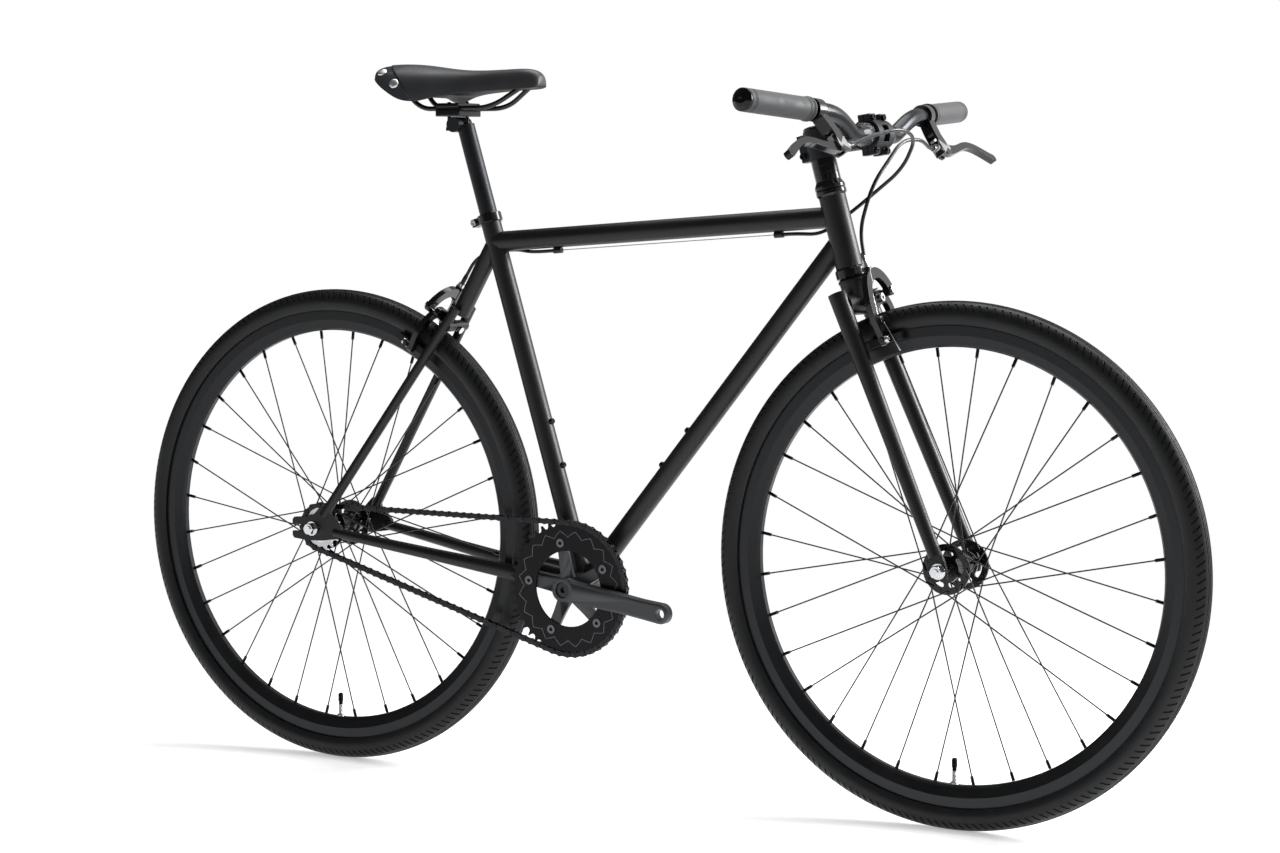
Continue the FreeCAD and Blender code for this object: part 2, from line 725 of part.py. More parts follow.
def axle_pieces(hub, spacing, plate, rod_radius, cone_radius, cone_start, nut_across):
    """Threaded rod with cones, locknuts against the dropouts, washers and nuts outside them."""
    half = spacing / 2
    locknut = 6.0
    reach = half + plate + 13.0
    pieces = [rod_shape(hub + RIGHT * reach, hub + LEFT * reach, rod_radius)]
    for side in SIDES:
        out = LEFT * side
        pieces.append(ring_shape(rod_radius, cone_radius, half - locknut - cone_start,
                                 hub + out * cone_start, out))
        bore = rod_shape(hub + RIGHT * reach, hub + LEFT * reach, rod_radius)
        pieces.append(hex_shape(17.0, locknut, hub + out * (half - locknut), out).cut(bore))
        outside = hub + out * (half + plate)
        pieces.append(ring_shape(rod_radius, 10.5, 2.0, outside, out))
        nut = hex_shape(nut_across, 9.0, outside + out * 2.0, out)
        crown = turned_shape(((0, 0), (nut_across * 0.6, 0), (nut_across * 0.6, 7.4),
                              (nut_across * 0.5, 9.0), (0, 9.0)),
                             outside + out * 2.0, out)
        pieces.append(nut.common(crown).cut(bore))
    return pieces


REAR_CONE_RADIUS = 8.5
REAR_CONE_START = 42.4
FRONT_CONE_RADIUS = 8.0
FRONT_CONE_START = 30.4
CONE_END_GAP = 0.4
node(feature("rear_axle_set", Part.makeCompound(
    axle_pieces(REAR_HUB, size("rear_spacing"), size("rear_dropout_thickness"), size("axle_diameter") / 2,
                REAR_CONE_RADIUS, REAR_CONE_START, 15.0))), "rear_axle")
node(feature("front_axle_set", Part.makeCompound(
    axle_pieces(FRONT_HUB, size("front_spacing"), size("front_dropout_thickness"),
                size("front_axle_diameter") / 2,
                FRONT_CONE_RADIUS, FRONT_CONE_START, 15.0))), "front_axle")

# Chain and sprockets

CHAIN_Y = -size("chain_line")
LEAN = math.degrees(chain_wrap(CHAINSTAY))
RUN_ANGLE = math.degrees(math.atan2(BRACKET.z - REAR_HUB.z, BRACKET.x - REAR_HUB.x))
UPPER_ANGLE = RUN_ANGLE + 90 + LEAN
LOWER_ANGLE = RUN_ANGLE - 90 - LEAN
RING_UNITS = RING_TEETH * (180 + 2 * LEAN) / 360
COG_UNITS = COG_TEETH * (180 - 2 * LEAN) / 360
RUN_UNITS = CHAINSTAY * math.cos(math.radians(LEAN)) / PITCH


def roller_angle_on_ring(unit):
    return UPPER_ANGLE - unit * 360 / RING_TEETH


def roller_angle_on_cog(unit):
    return LOWER_ANGLE - (unit - RING_UNITS - RUN_UNITS) * 360 / COG_TEETH


def chain_point(unit):
    """Place of a roller, counted in links from the top of the chainring and round its front."""
    unit = unit % (RING_UNITS + COG_UNITS + 2 * RUN_UNITS)
    if unit < RING_UNITS:
        return BRACKET + polar(RING_PITCH_RADIUS, roller_angle_on_ring(unit))
    ring_low = BRACKET + polar(RING_PITCH_RADIUS, LOWER_ANGLE)
    cog_low = REAR_HUB + polar(COG_PITCH_RADIUS, LOWER_ANGLE)
    if unit < RING_UNITS + RUN_UNITS:
        return ring_low + (cog_low - ring_low) * ((unit - RING_UNITS) / RUN_UNITS)
    if unit < RING_UNITS + RUN_UNITS + COG_UNITS:
        return REAR_HUB + polar(COG_PITCH_RADIUS, roller_angle_on_cog(unit))
    cog_high = REAR_HUB + polar(COG_PITCH_RADIUS, UPPER_ANGLE)
    ring_high = BRACKET + polar(RING_PITCH_RADIUS, UPPER_ANGLE)
    return cog_high + (ring_high - cog_high) * ((unit - RING_UNITS - RUN_UNITS - COG_UNITS) / RUN_UNITS)


ROLLER_RADIUS = size("roller_diameter") / 2
PIN_RADIUS = 1.8
PLATE_THICKNESS = 1.0
INNER_WIDTH = size("sprocket_thickness") + 0.6


def link_plate(middle, waist):
    plate = band_shape(((0, 0, 4.2), (PITCH / 2, 0, waist), (PITCH, 0, 4.2)), PLATE_THICKNESS)
    plate.translate(Vector(0, 0, middle - PLATE_THICKNESS / 2))
    return plate


def inner_link():
    """Two inner plates with their rollers, bored for the pins."""
    offset = (INNER_WIDTH + PLATE_THICKNESS) / 2
    pieces = [link_plate(offset, 3.2), link_plate(-offset, 3.2)]
    for x in (0, PITCH):
        pieces.append(rod_shape(Vector(x, 0, -offset), Vector(x, 0, offset), ROLLER_RADIUS))
    link = joined(pieces)
    for x in (0, PITCH):
        link = link.cut(rod_shape(Vector(x, 0, -9), Vector(x, 0, 9), PIN_RADIUS + 0.08))
    return link


def outer_link():
    """Two outer plates with their pins."""
    offset = INNER_WIDTH / 2 + PLATE_THICKNESS * 1.5 + 0.1
    pieces = [link_plate(offset, 2.9), link_plate(-offset, 2.9)]
    for x in (0, PITCH):
        pieces.append(rod_shape(Vector(x, 0, -offset - 0.9), Vector(x, 0, offset + 0.9), PIN_RADIUS))
    return joined(pieces)


def chain_solids():
    patterns = (inner_link(), outer_link())
    links = []
    for index in range(int(size("chain_links"))):
        here = chain_point(index)
        step = chain_point(index + 1) - here
        turn = math.degrees(math.atan2(step.z, step.x))
        rotation = FreeCAD.Rotation(RIGHT, turn).multiply(UPRIGHT)
        links.append(placed(patterns[index % 2], FreeCAD.Placement(here + LEFT * CHAIN_Y, rotation)))
    return links


node(feature("chain_loop", Part.makeCompound(chain_solids())), "chain")

SEAT_RADIUS = ROLLER_RADIUS + 0.375
TOOTH_HEIGHT = 3.0
TOOTH_TIP = 0.8


def sprocket_wire(teeth, pitch_radius, phase):
    """Toothed outline: a round seat under each roller and a straight sided tooth between two."""
    edges = []
    corners = []
    for index in range(teeth):
        angle = phase + index * 360 / teeth
        out = polar(1, angle)
        along = polar(1, angle + 90)
        centre = out * pitch_radius
        low = out * -0.5 * SEAT_RADIUS
        wide = along * math.sin(math.radians(60)) * SEAT_RADIUS
        start = centre + low - wide
        end = centre + low + wide
        edges.append(Part.Arc(start, centre - out * SEAT_RADIUS, end).toShape())
        corners.append((start, end, angle))
    for index in range(teeth):
        end = corners[index][1]
        start = corners[(index + 1) % teeth][0]
        middle = corners[index][2] + 180 / teeth
        tip = polar(pitch_radius + TOOTH_HEIGHT, middle)
        side = polar(TOOTH_TIP, middle + 90)
        edges.append(Part.makeLine(end, tip - side))
        edges.append(Part.makeLine(tip - side, tip + side))
        edges.append(Part.makeLine(tip + side, start))
    return Part.Wire(Part.__sortEdges__(edges))


def sprocket_shape(teeth, pitch_radius, phase, hole, centre):
    """A sprocket centred on the chain line, with a round hole."""
    half = size("sprocket_thickness") / 2
    solid = Part.Face(sprocket_wire(teeth, pitch_radius, phase)).extrude(RIGHT * half * 2)
    solid.translate(LEFT * half)
    solid = solid.cut(rod_shape(LEFT * 20, RIGHT * 20, hole))
    solid.translate(centre + LEFT * CHAIN_Y)
    return solid


CRANK_ANGLE = -size("crank_drop_angle")
SPIDER_ANGLES = [CRANK_ANGLE + 36 + 72 * k for k in range(5)]
BOLT_CIRCLE = size("chainring_bolt_circle") / 2
RING_BOLT_RADIUS = 5.0
ring = sprocket_shape(RING_TEETH, RING_PITCH_RADIUS, UPPER_ANGLE, size("chainring_hole") / 2, BRACKET)
for angle in SPIDER_ANGLES:
    hole_at = BRACKET + polar(BOLT_CIRCLE, angle)
    ring = ring.cut(rod_shape(hole_at + RIGHT * 90, hole_at + LEFT * 90, RING_BOLT_RADIUS))
node(feature("chainring_plate", ring), "chainring")

COG_HOLE = 17.4
COG_FIRST = math.ceil(RING_UNITS + RUN_UNITS)
node(feature("cog_plate",
             sprocket_shape(COG_TEETH, COG_PITCH_RADIUS, roller_angle_on_cog(COG_FIRST), COG_HOLE,
                                         REAR_HUB)), "fixed_cog")

# Crank

SPIDER_FACE = size("chain_line") - size("sprocket_thickness") / 2
SPIDER_THICKNESS = 5.0
BOSS_END = 62.0
ARM_THICKNESS = 13.0
ARM_INNER = 47.5
ARM_TILT = 4.4
SPINDLE_RADIUS = size("spindle_diameter") / 2
BOLT_SEAT = 55.0


def crank_place(degrees, side):
    """Local x along the arm, local z outward from the frame."""
    along = polar(1, degrees)
    out = LEFT * side
    return FreeCAD.Placement(BRACKET, FreeCAD.Rotation(along, out.cross(along), out, "ZXY"))


def crank_arm_shape(degrees, side, boss_start, spider):
    length = size("crank_length")
    arm = band_shape(((0, 0, 15.5), (35, 0, 14.8), (80, 0, 13.6), (130, 0, 13.2), (length, 0, 14.2)),
                     ARM_THICKNESS)
    arm.rotate(ORIGIN, LEFT, -ARM_TILT)
    arm.translate(Vector(0, 0, ARM_INNER))
    pieces = [arm, rod_shape(Vector(0, 0, boss_start), Vector(0, 0, BOSS_END), 16.5)]
    if spider:
        for angle in SPIDER_ANGLES:
            rib = band_shape(((0, 0, 13.0), (34, 0, 9.0), (BOLT_CIRCLE, 0, 8.0)), SPIDER_THICKNESS)
            rib.translate(Vector(0, 0, SPIDER_FACE - SPIDER_THICKNESS))
            rib.rotate(ORIGIN, UP, side * -(angle - degrees))
            pieces.append(rib)
    crank = joined(pieces)
    crank = crank.cut(rod_shape(ORIGIN, UP * 90, SPINDLE_RADIUS))
    crank = crank.cut(rod_shape(UP * BOLT_SEAT, UP * 90, 11.0))
    pedal_at = Vector(length, 0, 0)
    crank = crank.cut(rod_shape(pedal_at, pedal_at + UP * 120, size("pedal_thread") / 2))
    if spider:
        for angle in SPIDER_ANGLES:
            turn = math.radians(side * -(angle - degrees))
            hole_at = Vector(BOLT_CIRCLE * math.cos(turn), BOLT_CIRCLE * math.sin(turn), 0)
            crank = crank.cut(rod_shape(hole_at, hole_at + UP * 90, RING_BOLT_RADIUS))
    return placed(crank, crank_place(degrees, side))


node(feature("right_crank", crank_arm_shape(CRANK_ANGLE, -1, SPIDER_FACE - SPIDER_THICKNESS, True)),
     "right_crank_arm")
node(feature("left_crank", crank_arm_shape(CRANK_ANGLE + 180, 1, 41.0, False)), "left_crank_arm")


def ring_bolt(angle):
    """A bolt and sleeve nut through chainring and spider, heads on both faces."""
    at = BRACKET + polar(BOLT_CIRCLE, angle)
    inner = SPIDER_FACE - SPIDER_THICKNESS
    outer = SPIDER_FACE + size("sprocket_thickness")
    bolt = joined([rod_shape(at + RIGHT * (inner - 1.0), at + RIGHT * (outer + 1.2), RING_BOLT_RADIUS),
                   rod_shape(at + RIGHT * outer, at + RIGHT * (outer + 1.2), 6.2),
                   rod_shape(at + RIGHT * (inner - 1.0), at + RIGHT * inner, 6.2)])
    return bolt.cut(hex_shape(5.0, 4.0, at + RIGHT * (outer + 1.2), LEFT))


node(feature("ring_bolt_set", Part.makeCompound([ring_bolt(angle) for angle in SPIDER_ANGLES])),
     "chainring_bolts")

spindle_pieces = [rod_shape(BRACKET + RIGHT * BOLT_SEAT, BRACKET + LEFT * BOLT_SEAT, SPINDLE_RADIUS)]
for side in SIDES:
    bolt_end = BRACKET + LEFT * side * (BOLT_SEAT + 4.5)
    crank_bolt = rod_shape(BRACKET + LEFT * side * BOLT_SEAT, bolt_end, 10.4)
    spindle_pieces.append(crank_bolt.cut(hex_shape(8.0, 4.0, bolt_end, LEFT * -side)))
node(feature("spindle_set", Part.makeCompound(spindle_pieces)), "bottom_bracket_spindle")

# Wheels


def tyre_shape(hub):
    """A hollow tyre whose beads sit between the rim's edges."""
    outer = size("tyre_width") / 2
    inner = outer - size("tyre_wall")
    middle = size("tyre_outer_diameter") / 2 - outer
    rim_edge = size("rim_outer_diameter") / 2
    bead = size("rim_width") / 2 - 2.0
    shoulder = rim_edge + 0.3
    drop = middle - shoulder
    reach = math.sqrt(outer ** 2 - drop ** 2)
    ceiling = shoulder + 1.6
    inner_reach = math.sqrt(inner ** 2 - (middle - ceiling) ** 2)

    def at(y, radius):
        return Vector(radius, y, 0)

    corners = [at(reach, shoulder), at(bead, shoulder), at(bead, rim_edge - 4.6),
               at(bead - 2.6, rim_edge - 4.6),
               at(bead - 2.6, ceiling), at(inner_reach, ceiling)]
    far = [Vector(point.x, -point.y, 0) for point in corners]
    edges = [Part.makeLine(start, end) for start, end in zip(corners, corners[1:])]
    edges.append(Part.Arc(corners[-1], at(0, middle + inner), far[-1]).toShape())
    edges.extend(Part.makeLine(start, end) for start, end in zip(far[::-1], far[::-1][1:]))
    edges.append(Part.Arc(far[0], at(0, middle + outer), corners[0]).toShape())
    solid = Part.Face(Part.Wire(edges)).revolve(ORIGIN, LEFT, 360)
    solid.translate(hub)
    return solid


VALVE_RADIUS = 3.0


def rim_shape(hub):
    """A hollow box section rim with brake tracks, holed for the valve at the bottom."""
    edge = size("rim_outer_diameter") / 2
    half = size("rim_width") / 2
    inner_edge = edge - size("rim_depth")
    track = edge - size("brake_track_height")
    wall = size("rim_wall")
    lip = half - 1.7
    half_profile = ((edge, half), (edge, lip), (edge - 6, lip - 0.2), (edge - 7.5, 4.0))
    low_profile = ((inner_edge, 4.0), (inner_edge + 3.0, 7.2), (track, half))
    profile = [(r, -y) for r, y in low_profile]
    profile += [(r, -y) for r, y in half_profile]
    profile += list(half_profile[::-1])
    profile += list(low_profile[::-1])
    chamber = ((edge - 7.5 - wall, 7.0), (track + 1.0, half - wall), (track, half - wall),
               (inner_edge + 3.6, 7.2 - wall), (inner_edge + wall, 3.0))
    hollow = [(r, -y) for r, y in chamber] + list(chamber[::-1])
    rim = turned_shape(profile, hub, LEFT).cut(turned_shape(hollow, hub, LEFT))
    return rim.cut(rod_shape(hub + UP * -(inner_edge - 5), hub + UP * -(edge + 2), VALVE_RADIUS + 0.2))


def kidney_shape(middle_angle, height):
    """A curved slot between two radii of the hub flange."""
    low = 18.0
    high = 24.6
    spread = 21.0

    def at(radius, degrees):
        turn = math.radians(degrees)
        return Vector(radius * math.cos(turn), radius * math.sin(turn), 0)

    first = middle_angle - spread
    last = middle_angle + spread
    bulge = (low + high) / 2
    edges = [
        Part.Arc(at(high, first), at(high, middle_angle), at(high, last)).toShape(),
        Part.Arc(at(high, last), at(bulge, last + 7), at(low, last)).toShape(),
        Part.Arc(at(low, last), at(low, middle_angle), at(low, first)).toShape(),
        Part.Arc(at(low, first), at(bulge, first - 7), at(high, first)).toShape(),
    ]
    return Part.Face(Part.Wire(edges)).extrude(UP * height)


SPOKE_HALF = int(size("spoke_count")) // 2
SPOKE_STEP = 360 / SPOKE_HALF
WHEEL_PHASE = SPOKE_STEP / 4
SPOKE_CROSS = 3
HOLE_RADIUS = size("spoke_circle") / 2
FLANGE_MIDDLE = size("flange_spacing") / 2
FLANGE_HALF = size("flange_thickness") / 2


def hub_shape(hub, left_end, right_end, right_boss, cone_radius, cone_start, rod_radius):
    """A high flange hub turned about its axle, with five kidney slots in each flange."""
    counter = cone_radius + size("running_fit")
    step = cone_start - CONE_END_GAP
    bore = rod_radius + 1.0
    shell = size("hub_shell_diameter") / 2
    flange = size("flange_diameter") / 2
    inside = FLANGE_MIDDLE - FLANGE_HALF
    outside = FLANGE_MIDDLE + FLANGE_HALF
    left_boss = cone_radius + 4.5
    profile = (
        (counter, -right_end), (counter, -step), (bore, -step), (bore, step), (counter, step),
        (counter, left_end),
        (left_boss, left_end), (left_boss + 1.5, outside), (flange - 0.6, outside), (flange, outside - 0.6),
        (flange, inside + 0.6), (flange - 0.6, inside), (shell + 1.5, inside), (shell, inside - 4.0),
        (shell, 4.0 - inside), (shell + 1.5, -inside), (flange - 0.6, -inside), (flange, -inside - 0.6),
        (flange, 0.6 - outside), (flange - 0.6, -outside), (right_boss, -outside), (right_boss, -right_end),
    )
    body = turned_shape(profile, ORIGIN, UP)
    tools = []
    for side in SIDES:
        for index in range(5):
            slot = kidney_shape(72 * index + 18 * side, FLANGE_HALF * 2 + 2)
            slot.translate(UP * (side * FLANGE_MIDDLE - FLANGE_HALF - 1))
            tools.append(slot)
        for index in range(SPOKE_HALF):
            turn = math.radians(-(WHEEL_PHASE + SPOKE_STEP * (index + (0.5 if side > 0 else 0.0))))
            at = Vector(HOLE_RADIUS * math.cos(turn), HOLE_RADIUS * math.sin(turn), side * FLANGE_MIDDLE)
            tools.append(rod_shape(at - UP * 4, at + UP * 4, size("spoke_diameter") / 2 + 0.2))
    body = body.cut(Part.makeCompound(tools))
    return placed(body, FreeCAD.Placement(hub, FreeCAD.Rotation(FORWARD, -90)))


def spoke_pattern(side, outside):
    """One spoke with its elbow and head at angle zero, and its nipple at the rim."""
    turn = SPOKE_CROSS * SPOKE_STEP * (-1 if outside else 1)
    radius = size("spoke_diameter") / 2
    near = FLANGE_MIDDLE + FLANGE_HALF + radius + 1.3
    if not outside:
        near = FLANGE_MIDDLE - FLANGE_HALF - radius - 0.1
    far = FLANGE_MIDDLE - (FLANGE_HALF + 0.1) * (1 if outside else -1)
    head_end = far - 1.2 * (1 if outside else -1)
    hole = polar(HOLE_RADIUS, 0)
    bend = hole + LEFT * side * near
    rim_radius = size("rim_outer_diameter") / 2 - size("rim_depth") - 0.5
    rim_end = polar(rim_radius, turn) + LEFT * side * 1.6
    inward = (bend - rim_end).normalize()
    nipple_end = rim_end + inward * size("nipple_length")
    spoke = joined([
        rod_shape(bend, nipple_end, radius),
        rod_shape(bend, hole + LEFT * side * head_end, radius),
        rod_shape(hole + LEFT * side * far, hole + LEFT * side * head_end, radius * 1.9),
    ])
    nipple = rod_shape(rim_end, nipple_end, size("nipple_diameter") / 2)
    return spoke, nipple


def spoke_solids(hub):
    solids = []
    for side in SIDES:
        for outside in (True, False):
            pattern = spoke_pattern(side, outside)
            for index in range(0 if outside else 1, SPOKE_HALF, 2):
                angle = WHEEL_PHASE + SPOKE_STEP * (index + (0.5 if side > 0 else 0.0))
                place = FreeCAD.Placement(hub, FreeCAD.Rotation(RIGHT, angle))
                solids.extend(placed(piece, place) for piece in pattern)
    return solids


def valve_solids(hub):
    """Valve stem through the rim, with its cap, at the bottom of the wheel."""
    inner_edge = size("rim_outer_diameter") / 2 - size("rim_depth")
    stem_low = inner_edge - 23.0
    down = UP * -1
    stem = rod_shape(hub + down * stem_low, hub + down * (inner_edge + 14), VALVE_RADIUS)
    nut = ring_shape(VALVE_RADIUS, 5.4, 3.0, hub + down * (inner_edge - 3.2), down)
    cap = turned_shape(((0, 0), (3.7, 0), (3.7, 10.0), (2.6, 12.0), (0, 12.0)), hub + down * stem_low, UP)
    return [stem, nut, cap]


REAR_LEFT_END = 48.0
REAR_RIGHT_END = 52.0
FRONT_HUB_END = 38.0
for wheel, hub in (("front", FRONT_HUB), ("rear", REAR_HUB)):
    node(feature(wheel + "_tyre_casing", tyre_shape(hub)), wheel + "_tyre")
    node(feature(wheel + "_rim_hoop", rim_shape(hub)), wheel + "_rim")
    node(feature(wheel + "_spoke_set", Part.makeCompound(spoke_solids(hub))), wheel + "_spokes")
    node(feature(wheel + "_valve_set", Part.makeCompound(valve_solids(hub))), wheel + "_valve")
node(feature("front_hub_body", hub_shape(FRONT_HUB, FRONT_HUB_END, FRONT_HUB_END, FRONT_CONE_RADIUS + 5.0,
                                         FRONT_CONE_RADIUS, FRONT_CONE_START,
                                         size("front_axle_diameter") / 2)),
     "front_hub")
rear_hub_body = hub_shape(REAR_HUB, REAR_LEFT_END, REAR_RIGHT_END, COG_HOLE, REAR_CONE_RADIUS,
                          REAR_CONE_START,
                          size("axle_diameter") / 2)
node(feature("rear_hub_body", rear_hub_body), "rear_hub")
LOCKRING_START = size("chain_line") + size("sprocket_thickness") / 2
lockring = ring_shape(COG_HOLE, 22.0, 4.0, REAR_HUB + RIGHT * LOCKRING_START, RIGHT)
for index in range(3):
    notch = REAR_HUB + polar(22.5, 20 + 120 * index)
    lockring = lockring.cut(rod_shape(notch + RIGHT * 40, notch + RIGHT * 60, 2.4))
node(feature("lockring_ring", lockring), "lockring")

# Fork

BLADE_SETBACK = 7.0
BLADE_FOOT_HEIGHT = 20.0
CROWN_CENTRE = on_steerer(size("crown_height"), -size("crown_setback"))
CROWN_RADIUS = size("crown_diameter") / 2
STEERER_RADIUS = size("steerer_diameter") / 2
STEERER_LOW = size("crown_height") + 4.0
FRONT_PLATE_MID = (size("front_spacing") + size("front_dropout_thickness")) / 2
FRONT_SLOT = (size("front_axle_diameter") / 2 + 0.1, -40.0, size("front_axle_diameter") + 0.2)
FRONT_PLATE = ((32, -7), (32, 7), (12, 11), (-5, 11.5), (-13, 8), (-13, -8), (-5, -11.5), (12, -11))
FRONT_PLATE_TURN = FreeCAD.Rotation(STEER_AXIS, STEER_FRONT * -1, RIGHT, "ZXY")
front_plates = []
for side, outer_face in ((1, size("front_spacing") / 2 + size("front_dropout_thickness")),
                         (-1, -size("front_spacing") / 2)):
    plate_name = "left_front_plate" if side > 0 else "right_front_plate"
    plate_place = FreeCAD.Placement(FRONT_HUB + LEFT * outer_face, FRONT_PLATE_TURN)
    front_plates.append(slotted_plate(plate_name, FRONT_PLATE, FRONT_SLOT, cell("front_dropout_thickness"),
                                      plate_place))
node(group("front_plate_pair", front_plates), "fork_dropouts")
DOC.recompute()


def blade_shape(side):
    top = on_steerer(size("blade_top_height"), -BLADE_SETBACK, side * size("blade_spread") / 2)
    foot = on_steerer(BLADE_FOOT_HEIGHT, size("fork_rake"), side * FRONT_PLATE_MID)
    run = foot - top
    return Part.makeCone(size("blade_diameter") / 2, size("blade_tip_diameter") / 2, run.Length, top, run)


def slotted_blade(blade, plate):
    """A blade whose foot is slit to take its dropout plate."""
    thickness = size("front_dropout_thickness")
    slit = Part.makeBox(FRONT_PLATE[0][0] + 20.1, 60.0, thickness, Vector(-20.0, -30.0, 0))
    return blade.cut(placed(slit, plate.Placement))


blades = [blade_shape(side) for side in SIDES]
slotted_blades = [slotted_blade(blade, plate) for blade, plate in zip(blades, front_plates)]
node(feature("blade_pair", Part.makeCompound(slotted_blades)), "fork_blades")


def neck_shape():
    start = on_steerer(size("crown_height") - 2.0)
    length = NECK_TOP - size("crown_height") + 2.0
    return Part.makeCone(STEERER_RADIUS + 1.2, STEERER_RADIUS + 4.2, length, start, STEER_AXIS)


def crown_shape():
    half = size("blade_spread") / 2
    bar = rod_shape(CROWN_CENTRE + LEFT * half, CROWN_CENTRE + RIGHT * half, CROWN_RADIUS)
    crown = joined([bar, neck_shape()])
    crown = crown.cut(rod_shape(on_steerer(STEERER_LOW), on_steerer(NECK_TOP + 10), STEERER_RADIUS))
    for blade in blades:
        crown = crown.cut(blade)
    crown = max(crown.Solids, key=lambda solid: solid.Volume)
    bolt_low = CROWN_CENTRE - STEER_FRONT * 40
    return crown.cut(rod_shape(bolt_low, CROWN_CENTRE + STEER_FRONT * 40, BOLT_RADIUS))


race = turned_shape(((STEERER_RADIUS, 0), (STEERER_RADIUS + 5.2, 0), (STEERER_RADIUS + 5.2, 3.0),
                     (STEERER_RADIUS + 2.4, size("race_height")), (STEERER_RADIUS, size("race_height"))),
                    on_steerer(NECK_TOP), STEER_AXIS)
node(feature("crown_set", Part.makeCompound([crown_shape(), race])), "fork_crown")

STEERER_TOP = STEM_HIGH - 3.0
node(tube("steerer", on_steerer(STEERER_LOW), STEER_AXIS, cell("steerer_diameter") + " / 2",
          cell("steerer_bore") + " / 2", STEERER_TOP - STEERER_LOW), "steerer_tube")

spacer_stack = []
for index in range(SPACER_COUNT):
    low = on_steerer(COVER_HIGH + index * size("spacer_height"))
    spacer_stack.append(tube("spacer_%s" % "abc"[index], low, STEER_AXIS, cell("spacer_diameter") + " / 2",
                             cell("steerer_diameter") + " / 2", cell("spacer_height") + " - 0.15"))
cover_low_radius = size("cup_diameter") / 2
cover = turned_shape(((STEERER_RADIUS, 0), (cover_low_radius - 1.0, 0), (cover_low_radius, 1.0),
                      (cover_low_radius, 5.0), (size("spacer_diameter") / 2, size("cover_height")),
                      (STEERER_RADIUS, size("cover_height"))), on_steerer(COVER_LOW), STEER_AXIS)
cap_radius = size("stem_clamp_diameter") / 2 - 1.2
cap = turned_shape(((0, 0), (cap_radius, 0), (cap_radius, 3.0), (cap_radius - 1.5, 4.5), (0, 4.5)),
                   on_steerer(STEM_HIGH + 0.1), STEER_AXIS)
cap = cap.cut(rod_shape(on_steerer(STEM_HIGH + 1.6), on_steerer(STEM_HIGH + 9), 5.2))
cap_bolt = button_bolt(on_steerer(STEM_HIGH + 1.6), STEER_AXIS, 5.0, 4.0)
spacer_stack.append(feature("headset_cover", cover))
spacer_stack.append(feature("top_cap", cap))
node(group("spacer_set", spacer_stack), "headset_spacers")

# Stem

STEM_MIDDLE = on_steerer((STEM_LOW + STEM_HIGH) / 2)
STEM_AXIS = polar(1, size("stem_rise"))
STEM_UPPER = polar(1, size("stem_rise") + 90)
BAR_CENTRE = STEM_MIDDLE + STEM_AXIS * size("stem_length")
BAR_CLAMP_RADIUS = size("bar_clamp_diameter") / 2
CLAMP_WALL = 4.6
PLATE_SPLIT = 1.0
STEM_PLACE = FreeCAD.Placement(BAR_CENTRE, FreeCAD.Rotation(STEM_AXIS, LEFT, STEM_UPPER, "ZXY"))
LUG_HEIGHT = 21.5
BOLT_SIDE = 16.0


def bar_clamp_blank():
    """The full clamp round the handlebar in local axes: x forward, y left, z up."""
    half = size("bar_clamp_width") / 2
    outer = BAR_CLAMP_RADIUS + CLAMP_WALL
    ring_blank = rod_shape(LEFT * half, RIGHT * half, outer)
    lugs = []
    for side in SIDES:
        for rise in (1, -1):
            lugs.append(box_shape(Vector(0, side * BOLT_SIDE, rise * LUG_HEIGHT), 17.0, 13.0, 11.0))
    return joined([ring_blank] + lugs).cut(rod_shape(LEFT * 90, RIGHT * 90, BAR_CLAMP_RADIUS))


def stem_bolt_line(side, rise):
    return Vector(0, side * BOLT_SIDE, rise * (LUG_HEIGHT + 0.8))


